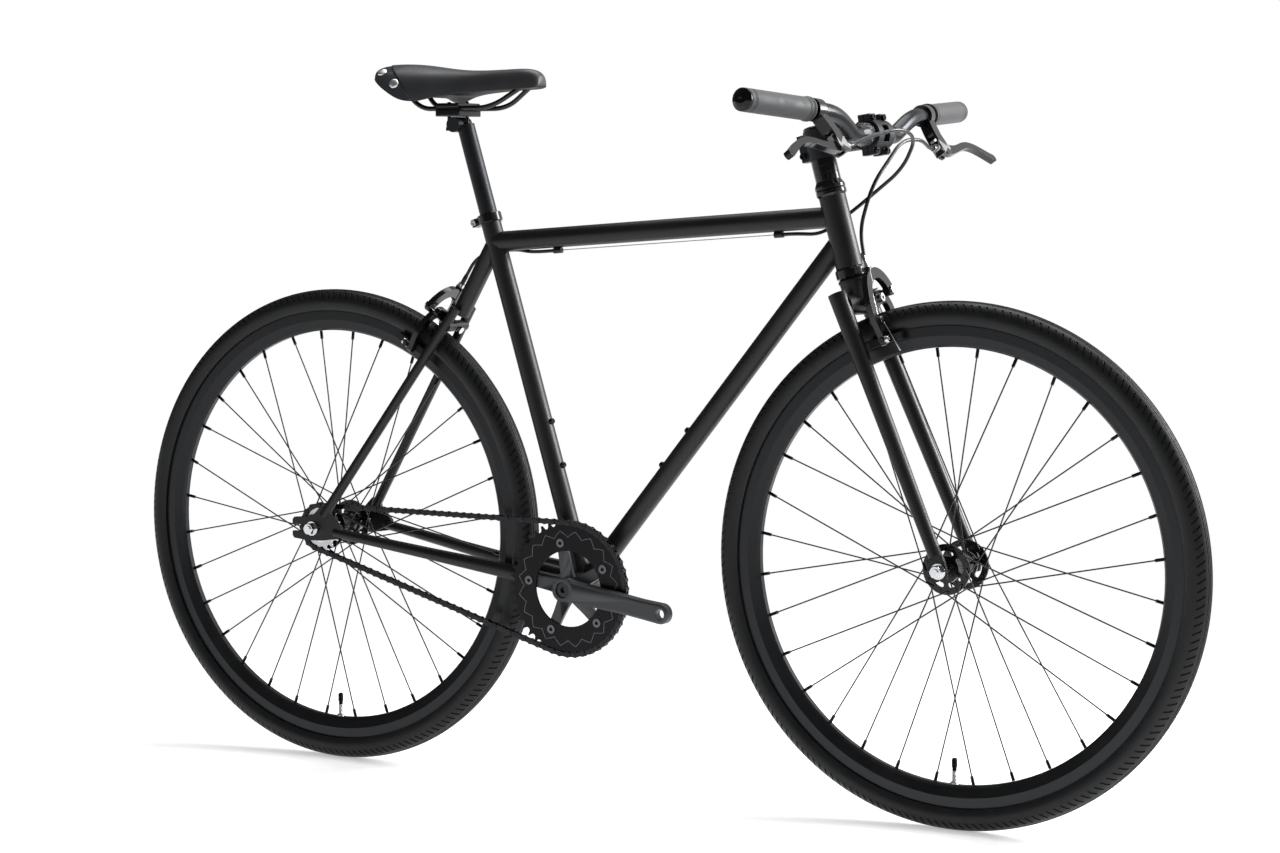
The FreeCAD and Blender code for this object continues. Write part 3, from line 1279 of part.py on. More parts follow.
def stem_shapes():
    blank = bar_clamp_blank()
    behind = box_shape(Vector(-50.0 - PLATE_SPLIT / 2, 0, 0), 100.0, 120.0, 120.0)
    ahead = box_shape(Vector(50.0 + PLATE_SPLIT / 2, 0, 0), 100.0, 120.0, 120.0)
    back_half = blank.common(behind)
    front_half = blank.common(ahead)
    window = box_shape(Vector(30.0, 0, 0), 60.0, 17.0, 22.0)
    front_half = front_half.cut(window)
    length = size("stem_length")
    reach = Part.makeCone(14.6, 17.2, length - 8.0, Vector(-length, 0, 0), FORWARD)
    bore = rod_shape(LEFT * 90, RIGHT * 90, BAR_CLAMP_RADIUS)
    body = placed(joined([back_half, reach.cut(bore)]), STEM_PLACE)
    collar = rod_shape(on_steerer(STEM_LOW), on_steerer(STEM_HIGH), size("stem_clamp_diameter") / 2)
    rear_lug = placed(box_shape(Vector(-21.5, 0, 0), 12.0, 15.0, size("stem_clamp_height") - 4.0),
                      FreeCAD.Placement(STEM_MIDDLE, FreeCAD.Rotation(STEER_FRONT, LEFT, STEER_AXIS, "ZXY")))
    stem = joined([body, collar, rear_lug])
    stem = stem.cut(rod_shape(on_steerer(STEM_LOW - 5), on_steerer(STEM_HIGH + 5), STEERER_RADIUS))
    slit = placed(box_shape(Vector(-24.0, 0, 0), 30.0, 1.6, size("stem_clamp_height") + 4.0),
                  FreeCAD.Placement(STEM_MIDDLE, FreeCAD.Rotation(STEER_FRONT, LEFT, STEER_AXIS, "ZXY")))
    stem = stem.cut(slit)
    bolts = []
    plate = front_half
    for side in SIDES:
        for rise in (1, -1):
            line = stem_bolt_line(side, rise)
            shank = rod_shape(line + FORWARD * -8.0, line + FORWARD * 9.0, 2.5)
            head = rod_shape(line + FORWARD * 8.5, line + FORWARD * 12.5, 4.2)
            head = head.cut(hex_shape(4.0, 2.6, line + FORWARD * 12.5, FORWARD * -1))
            plate = plate.cut(shank).cut(head)
            bolts.append(placed(joined([shank, head]), STEM_PLACE))
    for bolt in bolts:
        stem = stem.cut(bolt)
    for rise in (-10.0, 10.0):
        lug = STEM_MIDDLE - STEER_FRONT * 23.5 + STEER_AXIS * rise
        bolt = joined([rod_shape(lug + RIGHT * 7.0, lug + LEFT * 7.5, 2.5),
                       rod_shape(lug + RIGHT * 7.5, lug + RIGHT * 11.5, 4.2)])
        bolt = bolt.cut(hex_shape(4.0, 2.6, lug + RIGHT * 11.5, LEFT))
        stem = stem.cut(bolt)
        bolts.append(bolt)
    return stem, placed(plate, STEM_PLACE), bolts


stem, faceplate, stem_bolts = stem_shapes()
node(feature("stem_body", stem), "stem")
node(feature("stem_front", faceplate), "stem_faceplate")

# Handlebar, grips and lever brackets

BAR_RADIUS = size("bar_diameter") / 2
BAR_KNEE_LOW = 62.0
BAR_KNEE_HIGH = 114.0
BAR_SWEEP = 25.0
BAR_END_RISE = 12.2


def bar_points(side):
    """Corners of one half of the bar: level middle, rise, then a long swept run."""
    low = BAR_CENTRE + Vector(0, side * BAR_KNEE_LOW, 0)
    high = BAR_CENTRE + Vector(2.0, side * BAR_KNEE_HIGH, size("bar_rise"))
    end = high + Vector(-BAR_SWEEP, side * (size("bar_width") / 2 - BAR_KNEE_HIGH), BAR_END_RISE)
    return [BAR_CENTRE + LEFT * side * 46.0, low, high, end]


def handlebar_shape():
    """Thick middle, a taper each side and a bent run to each end."""
    profile = ((0, -48), (BAR_RADIUS, -48), (BAR_CLAMP_RADIUS, -32), (BAR_CLAMP_RADIUS, 32),
               (BAR_RADIUS, 48), (0, 48))
    pieces = [turned_shape(profile, BAR_CENTRE, LEFT)]
    for side in SIDES:
        pieces.append(pipe_shape([BAR_CENTRE + LEFT * side * 48.0] + bar_points(side)[1:], BAR_RADIUS))
    return pieces[0].multiFuse(pieces[1:])


handlebar = handlebar_shape()
node(feature("handlebar_tube", handlebar), "handlebar")
GRIP_RADIUS = size("grip_diameter") / 2


def bar_line(side):
    """Outer end of the bar and the direction of its straight outer run."""
    points = bar_points(side)
    return points[3], (points[3] - points[2]).normalize()


def bar_at(side, y):
    end, along = bar_line(side)
    return end - along * ((size("bar_width") / 2 - y) / abs(along.y))


grip_solids = []
for side in SIDES:
    end, along = bar_line(side)
    length = size("grip_length")
    grip = turned_shape(((BAR_RADIUS, 0), (GRIP_RADIUS + 1.2, 0), (GRIP_RADIUS + 1.2, 3.0),
                         (GRIP_RADIUS, 5.0),
                         (GRIP_RADIUS, length - 1.0), (GRIP_RADIUS - 1.0, length), (BAR_RADIUS, length)),
                        end - along * length, along)
    plug = turned_shape(((0, 0), (GRIP_RADIUS - 1.2, 0), (GRIP_RADIUS - 1.2, 1.6), (GRIP_RADIUS - 4.0, 4.4),
                         (5.0, 6.0), (0, 6.0)), end, along)
    grip_solids.extend([grip, plug])
node(feature("grip_pair", Part.makeCompound(grip_solids)), "grips")

LEVER_TO_BAR = polar(1, 180 - size("lever_lean"))
LEVER_AXIS = LEFT.cross(LEVER_TO_BAR)
LEVER_THICKNESS = 9.0
LEVER_GAP = 0.5
CHEEK = 3.0
PIVOT_RADIUS = 3.0
BARREL_END = 34.0
BARREL_RISE = 4.0


def lever_pivot(side):
    return bar_at(side, size("lever_clamp_place")) - LEVER_TO_BAR * size("lever_reach")


def lever_place(side):
    """Local x outward along the lever, local y toward the bar."""
    out = LEFT * side
    return FreeCAD.Placement(lever_pivot(side),
                             FreeCAD.Rotation(out, LEVER_TO_BAR, out.cross(LEVER_TO_BAR), "XYZ"))


def centred_band(path, low, high):
    bar = band_shape(path, high - low)
    bar.translate(UP * low)
    return bar


LEVER_PATH = ((-7, 0, 6.0), (3, 0, 7.4), (28, 1, 5.8), (55, 6, 5.0), (79, 8.5, 4.6), (106, 3, 4.6),
              (128, -6, 4.8),
              (143, -12, 5.4))


def lever_shape(side):
    half = LEVER_THICKNESS / 2
    lever = centred_band(LEVER_PATH, -half, half)
    lever = lever.cut(rod_shape(UP * -20, UP * 20, PIVOT_RADIUS + size("running_fit")))
    return placed(lever, lever_place(side))


def lever_bracket_pieces(side):
    """Handlebar clamp, two cheeks that hold the lever's pin, and the barrel for the housing."""
    half = LEVER_THICKNESS / 2 + LEVER_GAP
    outer = half + CHEEK
    reach = size("lever_reach")
    cheek_path = ((-2, reach - 14.0, 8.0), (-8, 26, 8.5), (-6, 1, 11.0))
    cheeks = [centred_band(cheek_path, half, outer), centred_band(cheek_path, -outer, -half)]
    web = centred_band(((-2, reach - 12.0, 8.0), (-7, 28, 8.0)), -outer, outer)
    wall = box_shape(Vector(-17.6, 3.0, 0), 4.6, 20.0, outer * 2)
    barrel = rod_shape(Vector(-17.0, BARREL_RISE, 0), Vector(-BARREL_END, BARREL_RISE, 0), 4.4)
    collar = rod_shape(Vector(-20.5, BARREL_RISE, 0), Vector(-26.0, BARREL_RISE, 0), 6.0)
    body = joined(cheeks + [web, wall, barrel, collar])
    body = placed(body, lever_place(side))
    end, along = bar_line(side)
    clamp_at = bar_at(side, size("lever_clamp_place"))
    band = rod_shape(clamp_at - along * 8, clamp_at + along * 8, BAR_RADIUS + 4.0)
    body = joined([body, band]).cut(rod_shape(clamp_at - along * 40, clamp_at + along * 40, BAR_RADIUS))
    place = lever_place(side)
    body = body.cut(placed(rod_shape(Vector(-40, BARREL_RISE, 0), Vector(-14, BARREL_RISE, 0),
                                     WIRE_RADIUS + 0.3), place))
    pocket_end = Vector(-BARREL_END + 4.0, BARREL_RISE, 0)
    body = body.cut(placed(rod_shape(Vector(-45, BARREL_RISE, 0), pocket_end, HOUSING_RADIUS + 0.3), place))
    pin = placed(rod_shape(UP * -outer, UP * outer, PIVOT_RADIUS), place)
    return [body.cut(pin), pin]


bracket_solids = []
for side in SIDES:
    bracket_solids.extend(lever_bracket_pieces(side))
node(feature("lever_bracket_pair", Part.makeCompound(bracket_solids)), "lever_brackets")
node(feature("left_lever_blade", lever_shape(1)), "left_brake_lever")
node(feature("right_lever_blade", lever_shape(-1)), "right_brake_lever")

# Calipers: local x to the side away from the cable, local y up, local z out from the frame

FRONT_SPACER = 6.0
FRONT_SEAT = CROWN_CENTRE + STEER_FRONT * (CROWN_RADIUS + FRONT_SPACER)
REAR_SPACER = 10.0
REAR_SEAT = BRIDGE + REAR_OUT * (size("bridge_diameter") / 2 + REAR_SPACER)
FRONT_CALIPER = FreeCAD.Placement(FRONT_SEAT, FreeCAD.Rotation(LEFT, STEER_AXIS, STEER_FRONT, "XYZ"))
REAR_CALIPER = FreeCAD.Placement(REAR_SEAT, FreeCAD.Rotation(RIGHT, REAR_UP, REAR_OUT, "XYZ"))
ARM = size("caliper_arm_thickness")
BRACKET_PLATE = 7.0
CENTRE_LAYER = BRACKET_PLATE + 0.5
SIDE_LAYER = CENTRE_LAYER + ARM + 0.5
CABLE_X = -28.0
CABLE_Z = SIDE_LAYER + ARM / 2
SIDE_PIVOT = Vector(23.0, 9.0, 0)
ADJUSTER_TOP = 47.0
ANCHOR = Vector(-26.0, -30.0, 0)
PAD_LENGTH = 48.0
PAD_HEIGHT = 10.0
TRACK_RADIUS = size("rim_outer_diameter") / 2 - size("brake_track_height") / 2
PAD_FACE = size("rim_width") / 2 + size("pad_gap")


def pad_reach(caliper, hub):
    """Distance down from the centre bolt to the middle of the brake track."""
    local = caliper.inverse().multVec(hub)
    return -local.y - math.sqrt(TRACK_RADIUS ** 2 - (local.z - CABLE_Z) ** 2)


def pad_tilt(caliper, hub):
    """Turn that sets the shoe along the rim."""
    local = caliper.inverse().multVec(hub)
    return math.degrees(math.asin((CABLE_Z - local.z) / TRACK_RADIUS))


def shoe(side, reach, tilt):
    """Brake shoe and its holder on one side of the rim."""
    depth = 9.5
    middle = Vector(side * (PAD_FACE + depth / 2), -reach, CABLE_Z)
    block = box_shape(middle, depth, PAD_HEIGHT, PAD_LENGTH)
    block.rotate(middle, FORWARD, tilt)
    post = rod_shape(Vector(side * (PAD_FACE + depth - 1), -reach, CABLE_Z),
                     Vector(side * 38.0, -reach, CABLE_Z), 3.4)
    return joined([block, post])


def centre_arm(reach, tilt):
    """Arm on the centre bolt: it carries the cable anchor and the shoe on the far side."""
    path = ((ANCHOR.x, ANCHOR.y, 6.0), (-13, -9, 6.0), (0, 1, 8.6), (17, 1, 6.5), (29, -13, 6.2),
            (33, -36, 5.6),
            (30, -reach + 5, 5.2), (29, -reach - 2, 5.2))
    arm = centred_band(path, CENTRE_LAYER, CENTRE_LAYER + ARM)
    foot = rod_shape(Vector(29.5, -reach, CENTRE_LAYER), Vector(29.5, -reach, CABLE_Z + 5), 5.0)
    anchor = rod_shape(ANCHOR + UP * CENTRE_LAYER, ANCHOR + UP * (CABLE_Z + 4), 4.4)
    arm = joined([arm, foot, anchor, shoe(1, reach, tilt)])
    return arm.cut(rod_shape(UP * -9, UP * 60, BOLT_RADIUS + size("running_fit")))


def side_arm(reach, tilt):
    """Arm on the side pivot: it arches over the centre bolt to the cable adjuster and its shoe."""
    path = ((SIDE_PIVOT.x, SIDE_PIVOT.y, 8.0), (9, 26, 7.0), (-12, 33, 7.0), (-32, 25, 7.2), (-42, 2, 6.0),
            (-41, -28, 5.6), (-32, -reach + 8, 5.2), (-29, -reach - 2, 5.2))
    arm = centred_band(path, SIDE_LAYER, SIDE_LAYER + ARM)
    adjuster = rod_shape(Vector(CABLE_X, 20, CABLE_Z), Vector(CABLE_X, ADJUSTER_TOP - 0.5, CABLE_Z), 5.0)
    collar = rod_shape(Vector(CABLE_X, 36, CABLE_Z), Vector(CABLE_X, 41, CABLE_Z), 6.4)
    arm = joined([arm, adjuster, collar, shoe(-1, reach, tilt)])
    arm = arm.cut(rod_shape(Vector(CABLE_X, 0, CABLE_Z), Vector(CABLE_X, 60, CABLE_Z), WIRE_RADIUS + 1.9))
    pin = SIDE_PIVOT + UP * 60
    return arm.cut(rod_shape(SIDE_PIVOT - UP * 9, pin, PIVOT_RADIUS + size("running_fit")))


def mount_pieces(depth):
    """Bracket plate, centre bolt and side pivot that stay on the frame or fork."""
    plate = band_shape(((0, 0, 9.0), (SIDE_PIVOT.x, SIDE_PIVOT.y, 7.0)), BRACKET_PLATE)
    bolt = rod_shape(UP * -depth, UP * (SIDE_LAYER + 0.2), BOLT_RADIUS)
    head = rod_shape(UP * (SIDE_LAYER - 0.3), UP * (SIDE_LAYER + 4.5), 6.0)
    head = head.cut(hex_shape(5.0, 3.0, UP * (SIDE_LAYER + 4.5), UP * -1))
    pin_end = SIDE_LAYER + ARM + 0.4
    pin = joined([rod_shape(SIDE_PIVOT + UP * 2.0, SIDE_PIVOT + UP * pin_end, PIVOT_RADIUS),
                  rod_shape(SIDE_PIVOT + UP * pin_end, SIDE_PIVOT + UP * (pin_end + 2.4), 5.6)])
    nut = rod_shape(UP * -depth, UP * (5.0 - depth), 5.0).cut(rod_shape(UP * -depth, UP * 20, BOLT_RADIUS))
    bolt = joined([bolt, head])
    return [plate.cut(bolt).cut(pin), bolt, pin, nut]


front_reach = pad_reach(FRONT_CALIPER, FRONT_HUB)
rear_reach = pad_reach(REAR_CALIPER, REAR_HUB)
front_tilt = pad_tilt(FRONT_CALIPER, FRONT_HUB)
rear_tilt = pad_tilt(REAR_CALIPER, REAR_HUB)
FRONT_BOLT_DEPTH = CROWN_RADIUS * 2 + FRONT_SPACER + 5.4
REAR_BOLT_DEPTH = size("bridge_diameter") + REAR_SPACER + 5.4
front_mount = [placed(piece, FRONT_CALIPER) for piece in mount_pieces(FRONT_BOLT_DEPTH)]
rear_mount = [placed(piece, REAR_CALIPER) for piece in mount_pieces(REAR_BOLT_DEPTH)]


def concave_spacer(caliper, height, seat_centre, seat_radius):
    """A ring on the centre bolt, hollowed on one side to sit on a round tube."""
    ring_blank = placed(ring_shape(BOLT_RADIUS, 7.0, height + 5.0, ORIGIN, UP * -1), caliper)
    ring_blank = ring_blank.cut(rod_shape(seat_centre + LEFT * 30, seat_centre + RIGHT * 30, seat_radius))
    return max(ring_blank.Solids, key=lambda solid: solid.Volume)


front_spacer = concave_spacer(FRONT_CALIPER, FRONT_SPACER, CROWN_CENTRE, CROWN_RADIUS).cut(neck_shape())
rear_spacer = concave_spacer(REAR_CALIPER, REAR_SPACER, BRIDGE, size("bridge_diameter") / 2)
node(feature("steering_bolt_set", Part.makeCompound(stem_bolts + [cap_bolt, front_spacer] + front_mount)),
     "steering_bolts")
node(feature("frame_bolt_set", Part.makeCompound(bottle_bolts + [seat_clamp_bolt, rear_spacer] + rear_mount)),
     "frame_bolts")
node(feature("front_centre_arm", placed(centre_arm(front_reach, front_tilt), FRONT_CALIPER)),
     "front_left_brake_arm")
node(feature("front_side_arm", placed(side_arm(front_reach, front_tilt), FRONT_CALIPER)),
     "front_right_brake_arm")
node(feature("rear_centre_arm", placed(centre_arm(rear_reach, rear_tilt), REAR_CALIPER)),
     "rear_right_brake_arm")
node(feature("rear_side_arm", placed(side_arm(rear_reach, rear_tilt), REAR_CALIPER)), "rear_left_brake_arm")

# Brake cables

BARREL_SEAT = BARREL_END - 4.0 + 0.1


def barrel_point(side, reach):
    return lever_place(side).multVec(Vector(-reach, BARREL_RISE, 0))


def caliper_point(caliper, rise):
    return caliper.multVec(Vector(CABLE_X, rise, CABLE_Z))


def inner_wire(caliper):
    """Bare wire from the housing's end, through the adjuster, down to the anchor."""
    return rod_shape(caliper_point(caliper, ADJUSTER_TOP - 0.1), caliper_point(caliper, ANCHOR.y + 6.4),
                     WIRE_RADIUS)


front_adjuster = caliper_point(FRONT_CALIPER, ADJUSTER_TOP)
front_route = [
    barrel_point(1, BARREL_SEAT),
    barrel_point(1, BARREL_SEAT + 14.0),
    barrel_point(1, BARREL_SEAT + 44.0) + Vector(2, 0, 11),
    BAR_CENTRE + Vector(20, 46, -6),
    BAR_CENTRE + Vector(8, -20, -66),
    front_adjuster + STEER_AXIS * 44.0 + STEER_FRONT * 4.0,
    front_adjuster,
]
node(feature("front_cable",
             Part.makeCompound([pipe_shape(front_route, HOUSING_RADIUS), inner_wire(FRONT_CALIPER)])),
     "front_brake_cable")

front_stop_in = top_tube_point(FRONT_STOP_X - STOP_LENGTH / 2 + 4.1, STOP_DROP)
rear_stop_in = top_tube_point(REAR_STOP_X + STOP_LENGTH / 2 - 4.1, STOP_DROP)
loop_route = [
    barrel_point(-1, BARREL_SEAT),
    barrel_point(-1, BARREL_SEAT + 14.0),
    barrel_point(-1, BARREL_SEAT + 44.0) + Vector(11, 0, 12),
    BAR_CENTRE + Vector(57, -36, 8),
    BAR_CENTRE + Vector(57, 10, -4),
    BAR_CENTRE + Vector(26, 36, -44),
    BAR_CENTRE + Vector(-48, 38, -100),
    top_tube_point(291.0, STOP_DROP + 3.0) + LEFT * 16.0,
    top_tube_point(259.0, STOP_DROP),
    front_stop_in,
]
node(feature("housing_loop", pipe_shape(loop_route, HOUSING_RADIUS)), "rear_housing_loop")

rear_adjuster = caliper_point(REAR_CALIPER, ADJUSTER_TOP)
rear_route = [
    rear_stop_in,
    top_tube_point(-158.0, STOP_DROP),
    Vector(-206.0, 27.0, 759.0),
    rear_adjuster + REAR_UP * 50.0,
    rear_adjuster,
]
bare_wire = rod_shape(front_stop_in, rear_stop_in, WIRE_RADIUS)
node(feature("rear_cable", Part.makeCompound([pipe_shape(rear_route, HOUSING_RADIUS), bare_wire,
                                              inner_wire(REAR_CALIPER)])), "rear_brake_cable")

# Seat

POST_TOP = SEAT_TOP + SEAT_AXIS * size("seatpost_showing")
HEAD_CENTRE = POST_TOP + Vector(-11.0, 0, 1.5)
HEAD_RADIUS = 11.0
HEAD_WIDTH = 34.0
RAIL_RADIUS = size("rail_diameter") / 2
RAIL_SIDE = size("rail_spacing") / 2
RAIL_LEVEL = size("saddle_top") - 65.0
CLAMP_X = HEAD_CENTRE.x - 2.0


def seatpost_shape():
    start = SEAT_TOP - SEAT_AXIS * size("seatpost_insertion")
    post = rod_shape(start, POST_TOP, size("seatpost_diameter") / 2)
    head = rod_shape(HEAD_CENTRE + LEFT * HEAD_WIDTH / 2, HEAD_CENTRE + RIGHT * HEAD_WIDTH / 2, HEAD_RADIUS)
    post = joined([post, head])
    return post.cut(rod_shape(start, SEAT_TOP + SEAT_AXIS * 60, size("seatpost_diameter") / 2 - 2.2))


def rail_shape(side):
    tail = Vector(CLAMP_X - 85.0, side * 27.0, RAIL_LEVEL + 40.0)
    low_back = Vector(CLAMP_X - 50.0, side * RAIL_SIDE, RAIL_LEVEL)
    low_front = Vector(CLAMP_X + 70.0, side * RAIL_SIDE, RAIL_LEVEL)
    nose = Vector(CLAMP_X + 124.0, side * 9.0, RAIL_LEVEL + 34.0)
    return pipe_shape([tail, low_back, low_front, nose], RAIL_RADIUS, 0.35)


rails = [rail_shape(side) for side in SIDES]
node(feature("rail_pair", Part.makeCompound(rails)), "saddle_rails")


def saddle_clamp_pieces():
    """Lower cradle on the post's head, upper plate over the rails, and two bolts."""
    lower = box_shape(Vector(CLAMP_X, 0, RAIL_LEVEL - 6.0), 42.0, 56.0, 10.6)
    upper = box_shape(Vector(CLAMP_X, 0, RAIL_LEVEL + 4.2), 38.0, 56.0, 7.0)
    lower = lower.cut(rod_shape(HEAD_CENTRE + LEFT * 40, HEAD_CENTRE + RIGHT * 40, HEAD_RADIUS))
    bolts = []
    for reach in (-15.5, 15.5):
        low = Vector(CLAMP_X + reach, 0, RAIL_LEVEL - 31.0)
        bolt = joined([rod_shape(low, low + UP * 41.0, 2.6), rod_shape(low, low + UP * 5.0, 4.8)])
        bolts.append(bolt)
        lower = lower.cut(bolt)
        upper = upper.cut(bolt)
    for rail in rails:
        lower = lower.cut(rail)
        upper = upper.cut(rail)
    return [lower, upper] + bolts


clamp_pieces = saddle_clamp_pieces()
seatpost = seatpost_shape()
for piece in clamp_pieces:
    seatpost = seatpost.cut(piece)
node(feature("seatpost_tube", seatpost), "seatpost")
node(feature("saddle_clamp_set", Part.makeCompound(clamp_pieces)), "saddle_clamp")

SADDLE_TAIL = -405.0
# share of length from the tail, half width as share of full width, drop of the top, depth of the skirt
SADDLE_STATIONS = (
    (0.000, 0.270, 10.0, 14.0),
    (0.035, 0.375, 4.0, 32.0),
    (0.125, 0.482, 0.0, 50.0),
    (0.270, 0.486, 0.5, 56.0),
    (0.410, 0.385, 6.0, 48.0),
    (0.560, 0.250, 11.0, 36.0),
    (0.710, 0.180, 12.0, 31.0),
    (0.860, 0.145, 11.0, 29.0),
    (0.960, 0.118, 12.0, 25.0),
    (1.000, 0.070, 16.0, 16.0),
)


def saddle_section(share, half_share, drop, depth, inset):
    x = SADDLE_TAIL + share * size("saddle_length")
    half = half_share * size("saddle_width") - inset
    top = size("saddle_top") - drop - inset
    low = size("saddle_top") - drop - depth - (2.0 if inset else 0.0)
    height = top - low
    outline = ((-0.96, 1.0), (-1.0, 0.5), (-0.84, 0.2), (-0.45, 0.04), (0.0, 0.0))
    points = [Vector(x, u * half, top - v * height) for u, v in outline]
    points += [mirrored(point) for point in points[-2::-1]]
    return Part.Wire([spline_edge(points), Part.makeLine(points[-1], points[0])])


def saddle_shape():
    outer = Part.makeLoft([saddle_section(*station, 0.0) for station in SADDLE_STATIONS], True, True)
    inner = Part.makeLoft([saddle_section(*station, 9.0) for station in SADDLE_STATIONS[1:-1]], True, True)
    shell = outer.cut(inner)
    tail_block = box_shape(Vector(CLAMP_X - 88.0, 0, RAIL_LEVEL + 44.0), 16.0, 84.0, 26.0)
    nose_block = box_shape(Vector(CLAMP_X + 122.0, 0, RAIL_LEVEL + 38.0), 16.0, 30.0, 20.0)
    blocks = [tail_block.common(outer), nose_block.common(outer)]
    saddle = joined([shell] + blocks)
    for rail in rails:
        saddle = saddle.cut(rail)
    return saddle


saddle = saddle_shape()


def rivet_place(share, rise):
    """A point on the saddle's side near the tail, and the way out of its surface."""
    x = SADDLE_TAIL + share * size("saddle_length")
    middle = Vector(x + 40.0, 0, size("saddle_top") - 45.0)
    return middle, Vector(x - middle.x, 0, rise)


rivets = []
for share, rise, spread in ((0.075, 34.0, 48.0), (0.215, 20.0, 66.0)):
    for side in SIDES:
        middle, away = rivet_place(share, rise)
        ray = Vector(away.x, side * spread, away.z)
        line = Part.makeLine(middle, middle + ray * 2.0)
        hit = saddle.common(line)
        surface = max((vertex.Point for vertex in hit.Vertexes), key=lambda point: (point - middle).Length)
        outward = (surface - middle).normalize()
        rivets.append(turned_shape(((0, 0), (4.4, 0), (4.4, 2.0), (3.0, 3.0), (0, 3.0)),
                                   surface - outward * 1.6,
                                   outward))
for rivet in rivets:
    saddle = saddle.cut(rivet)
node(feature("saddle_shell", saddle), "saddle")
node(feature("rivet_set", Part.makeCompound(rivets)), "saddle_rivets")


def write_parts():
    """Check every object, then write one file for each named piece."""
    DOC.recompute()
    for obj in DOC.Objects:
        if "Invalid" in obj.State or "Error" in obj.State:
            raise ValueError("not built: " + obj.Label)
    os.makedirs("parts", exist_ok=True)
    for part in NODES:
        if part.Shape.isNull() or not part.Shape.isValid():
            raise ValueError("not a valid shape: " + part.Label)
        part.Shape.exportStep("parts/" + part.Label + ".step")


write_parts()
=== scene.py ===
"""Looks of a fixed gear bicycle: finishes for its solids, and its tyres, grips, saddle and small fittings."""

import math
from functools import partial

import bmesh
import bpy
from mathutils import Matrix, Vector


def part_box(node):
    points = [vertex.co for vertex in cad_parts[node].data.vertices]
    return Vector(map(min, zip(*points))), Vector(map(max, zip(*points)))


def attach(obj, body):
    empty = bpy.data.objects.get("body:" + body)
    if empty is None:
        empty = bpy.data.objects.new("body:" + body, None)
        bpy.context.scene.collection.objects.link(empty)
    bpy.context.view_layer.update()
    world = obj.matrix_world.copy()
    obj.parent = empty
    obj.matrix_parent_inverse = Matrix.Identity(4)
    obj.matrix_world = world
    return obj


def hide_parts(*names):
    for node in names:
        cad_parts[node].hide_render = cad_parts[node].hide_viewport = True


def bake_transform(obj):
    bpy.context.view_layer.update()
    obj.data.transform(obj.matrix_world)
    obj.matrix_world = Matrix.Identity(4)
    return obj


bl_info = {
    "name": "Fixed gear bicycle looks",
    "version": (1, 0, 0),
    "blender": (4, 5, 0),
    "location": "View3D > Sidebar > Bicycle",
    "description": "Finishes a fixed gear bicycle and models its tyres, grips, saddle and small fittings",
    "category": "Object",
}

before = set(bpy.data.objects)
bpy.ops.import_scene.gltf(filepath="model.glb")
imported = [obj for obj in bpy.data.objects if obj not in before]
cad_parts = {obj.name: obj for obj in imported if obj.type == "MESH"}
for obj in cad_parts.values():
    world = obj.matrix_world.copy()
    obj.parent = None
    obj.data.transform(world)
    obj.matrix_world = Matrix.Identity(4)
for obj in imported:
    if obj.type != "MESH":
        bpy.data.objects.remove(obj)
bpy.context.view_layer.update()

# Places of the bicycle, in metres

MM = 0.001
SIDES = {"left": 1, "right": -1}
HUBS = {"front": Vector((0.5, 0, 0.349)), "rear": Vector((-0.5, 0, 0.349))}
BRACKET = Vector((-0.070619, 0, 0.2865))
BAR_CENTRE = Vector((0.377, 0, 0.9137))
BAR_END = Vector((0.354, 0.318, 0.9519))
BAR_RUN = Vector((-0.025, 0.204, 0.0122))
LEVER_PIVOT = Vector((0.405443, 0.163, 0.894569))
LEVER_TO_BAR = Vector((-0.559193, 0, 0.829038))
SADDLE_TAIL = -0.3955


def axes(origin, x, y, z):
    """Matrix from a piece's own axes to the bicycle."""
    turn = Matrix((x, y, z)).transposed().to_4x4()
    return Matrix.Translation(origin) @ turn


def pointing(origin, along):
    """Matrix of a piece whose own z points along a direction."""
    return Matrix.Translation(origin) @ Vector(along).to_track_quat("Z", "Y").to_matrix().to_4x4()


# Calipers: own x away from the cable, own y up, own z out from the frame
CALIPERS = {
    "front": axes((0.37275, 0, 0.6956), (0, 1, 0), (-0.267238, 0, 0.96363), (0.96363, 0, 0.267238)),
    "rear": axes((-0.30457, 0, 0.65835), (0, -1, 0), (0.550505, 0, 0.834832), (-0.834832, 0, 0.550505)),
}
# On those axes: depth of the shoes, the cable, the adjuster's top, the anchor bolt, and the arms' feet
CALIPER_REACH = {"front": 57.66 * MM, "rear": 56.53 * MM}
CABLE_X = -28 * MM
CABLE_Z = 20 * MM
ADJUSTER_TOP = 47 * MM
ANCHOR = Vector((-26 * MM, -30 * MM))
FOOT_X = 29.5 * MM
FOOT_FACE = {1: 25 * MM, -1: 24 * MM}
# Each brake arm: its caliper, its body, and 1 where its foot is on the side away from the cable
BRAKE_ARMS = (
    ("front", "front_left", 1),
    ("front", "front_right", -1),
    ("rear", "rear_right", 1),
    ("rear", "rear_left", -1),
)


def mirrored(point, side):
    """A point of the left side, or its twin on the right."""
    return Vector((point.x, point.y * side, point.z))


def lever_axes(side):
    """Own x outward along the lever, own y toward the bar."""
    out = Vector((0, side, 0))
    return axes(mirrored(LEVER_PIVOT, side), out, LEVER_TO_BAR, out.cross(LEVER_TO_BAR))


def linear(hex_colour):
    """An sRGB hex colour as linear red, green, blue and alpha."""
    channels = [int(hex_colour[i:i + 2], 16) / 255 for i in (1, 3, 5)]
    return [c / 12.92 if c <= 0.04045 else ((c + 0.055) / 1.055) ** 2.4 for c in channels] + [1.0]


def scaled(tone, factor):
    """A lighter or darker tone."""
    return [c * factor for c in tone[:3]] + [1.0]


def colour(label, hex_colour):
    """A colour that a user can change."""
    return bpy.props.FloatVectorProperty(name=label, description=label + " of the bicycle", subtype="COLOR",
                                         size=4, min=0.0, max=1.0, default=linear(hex_colour))


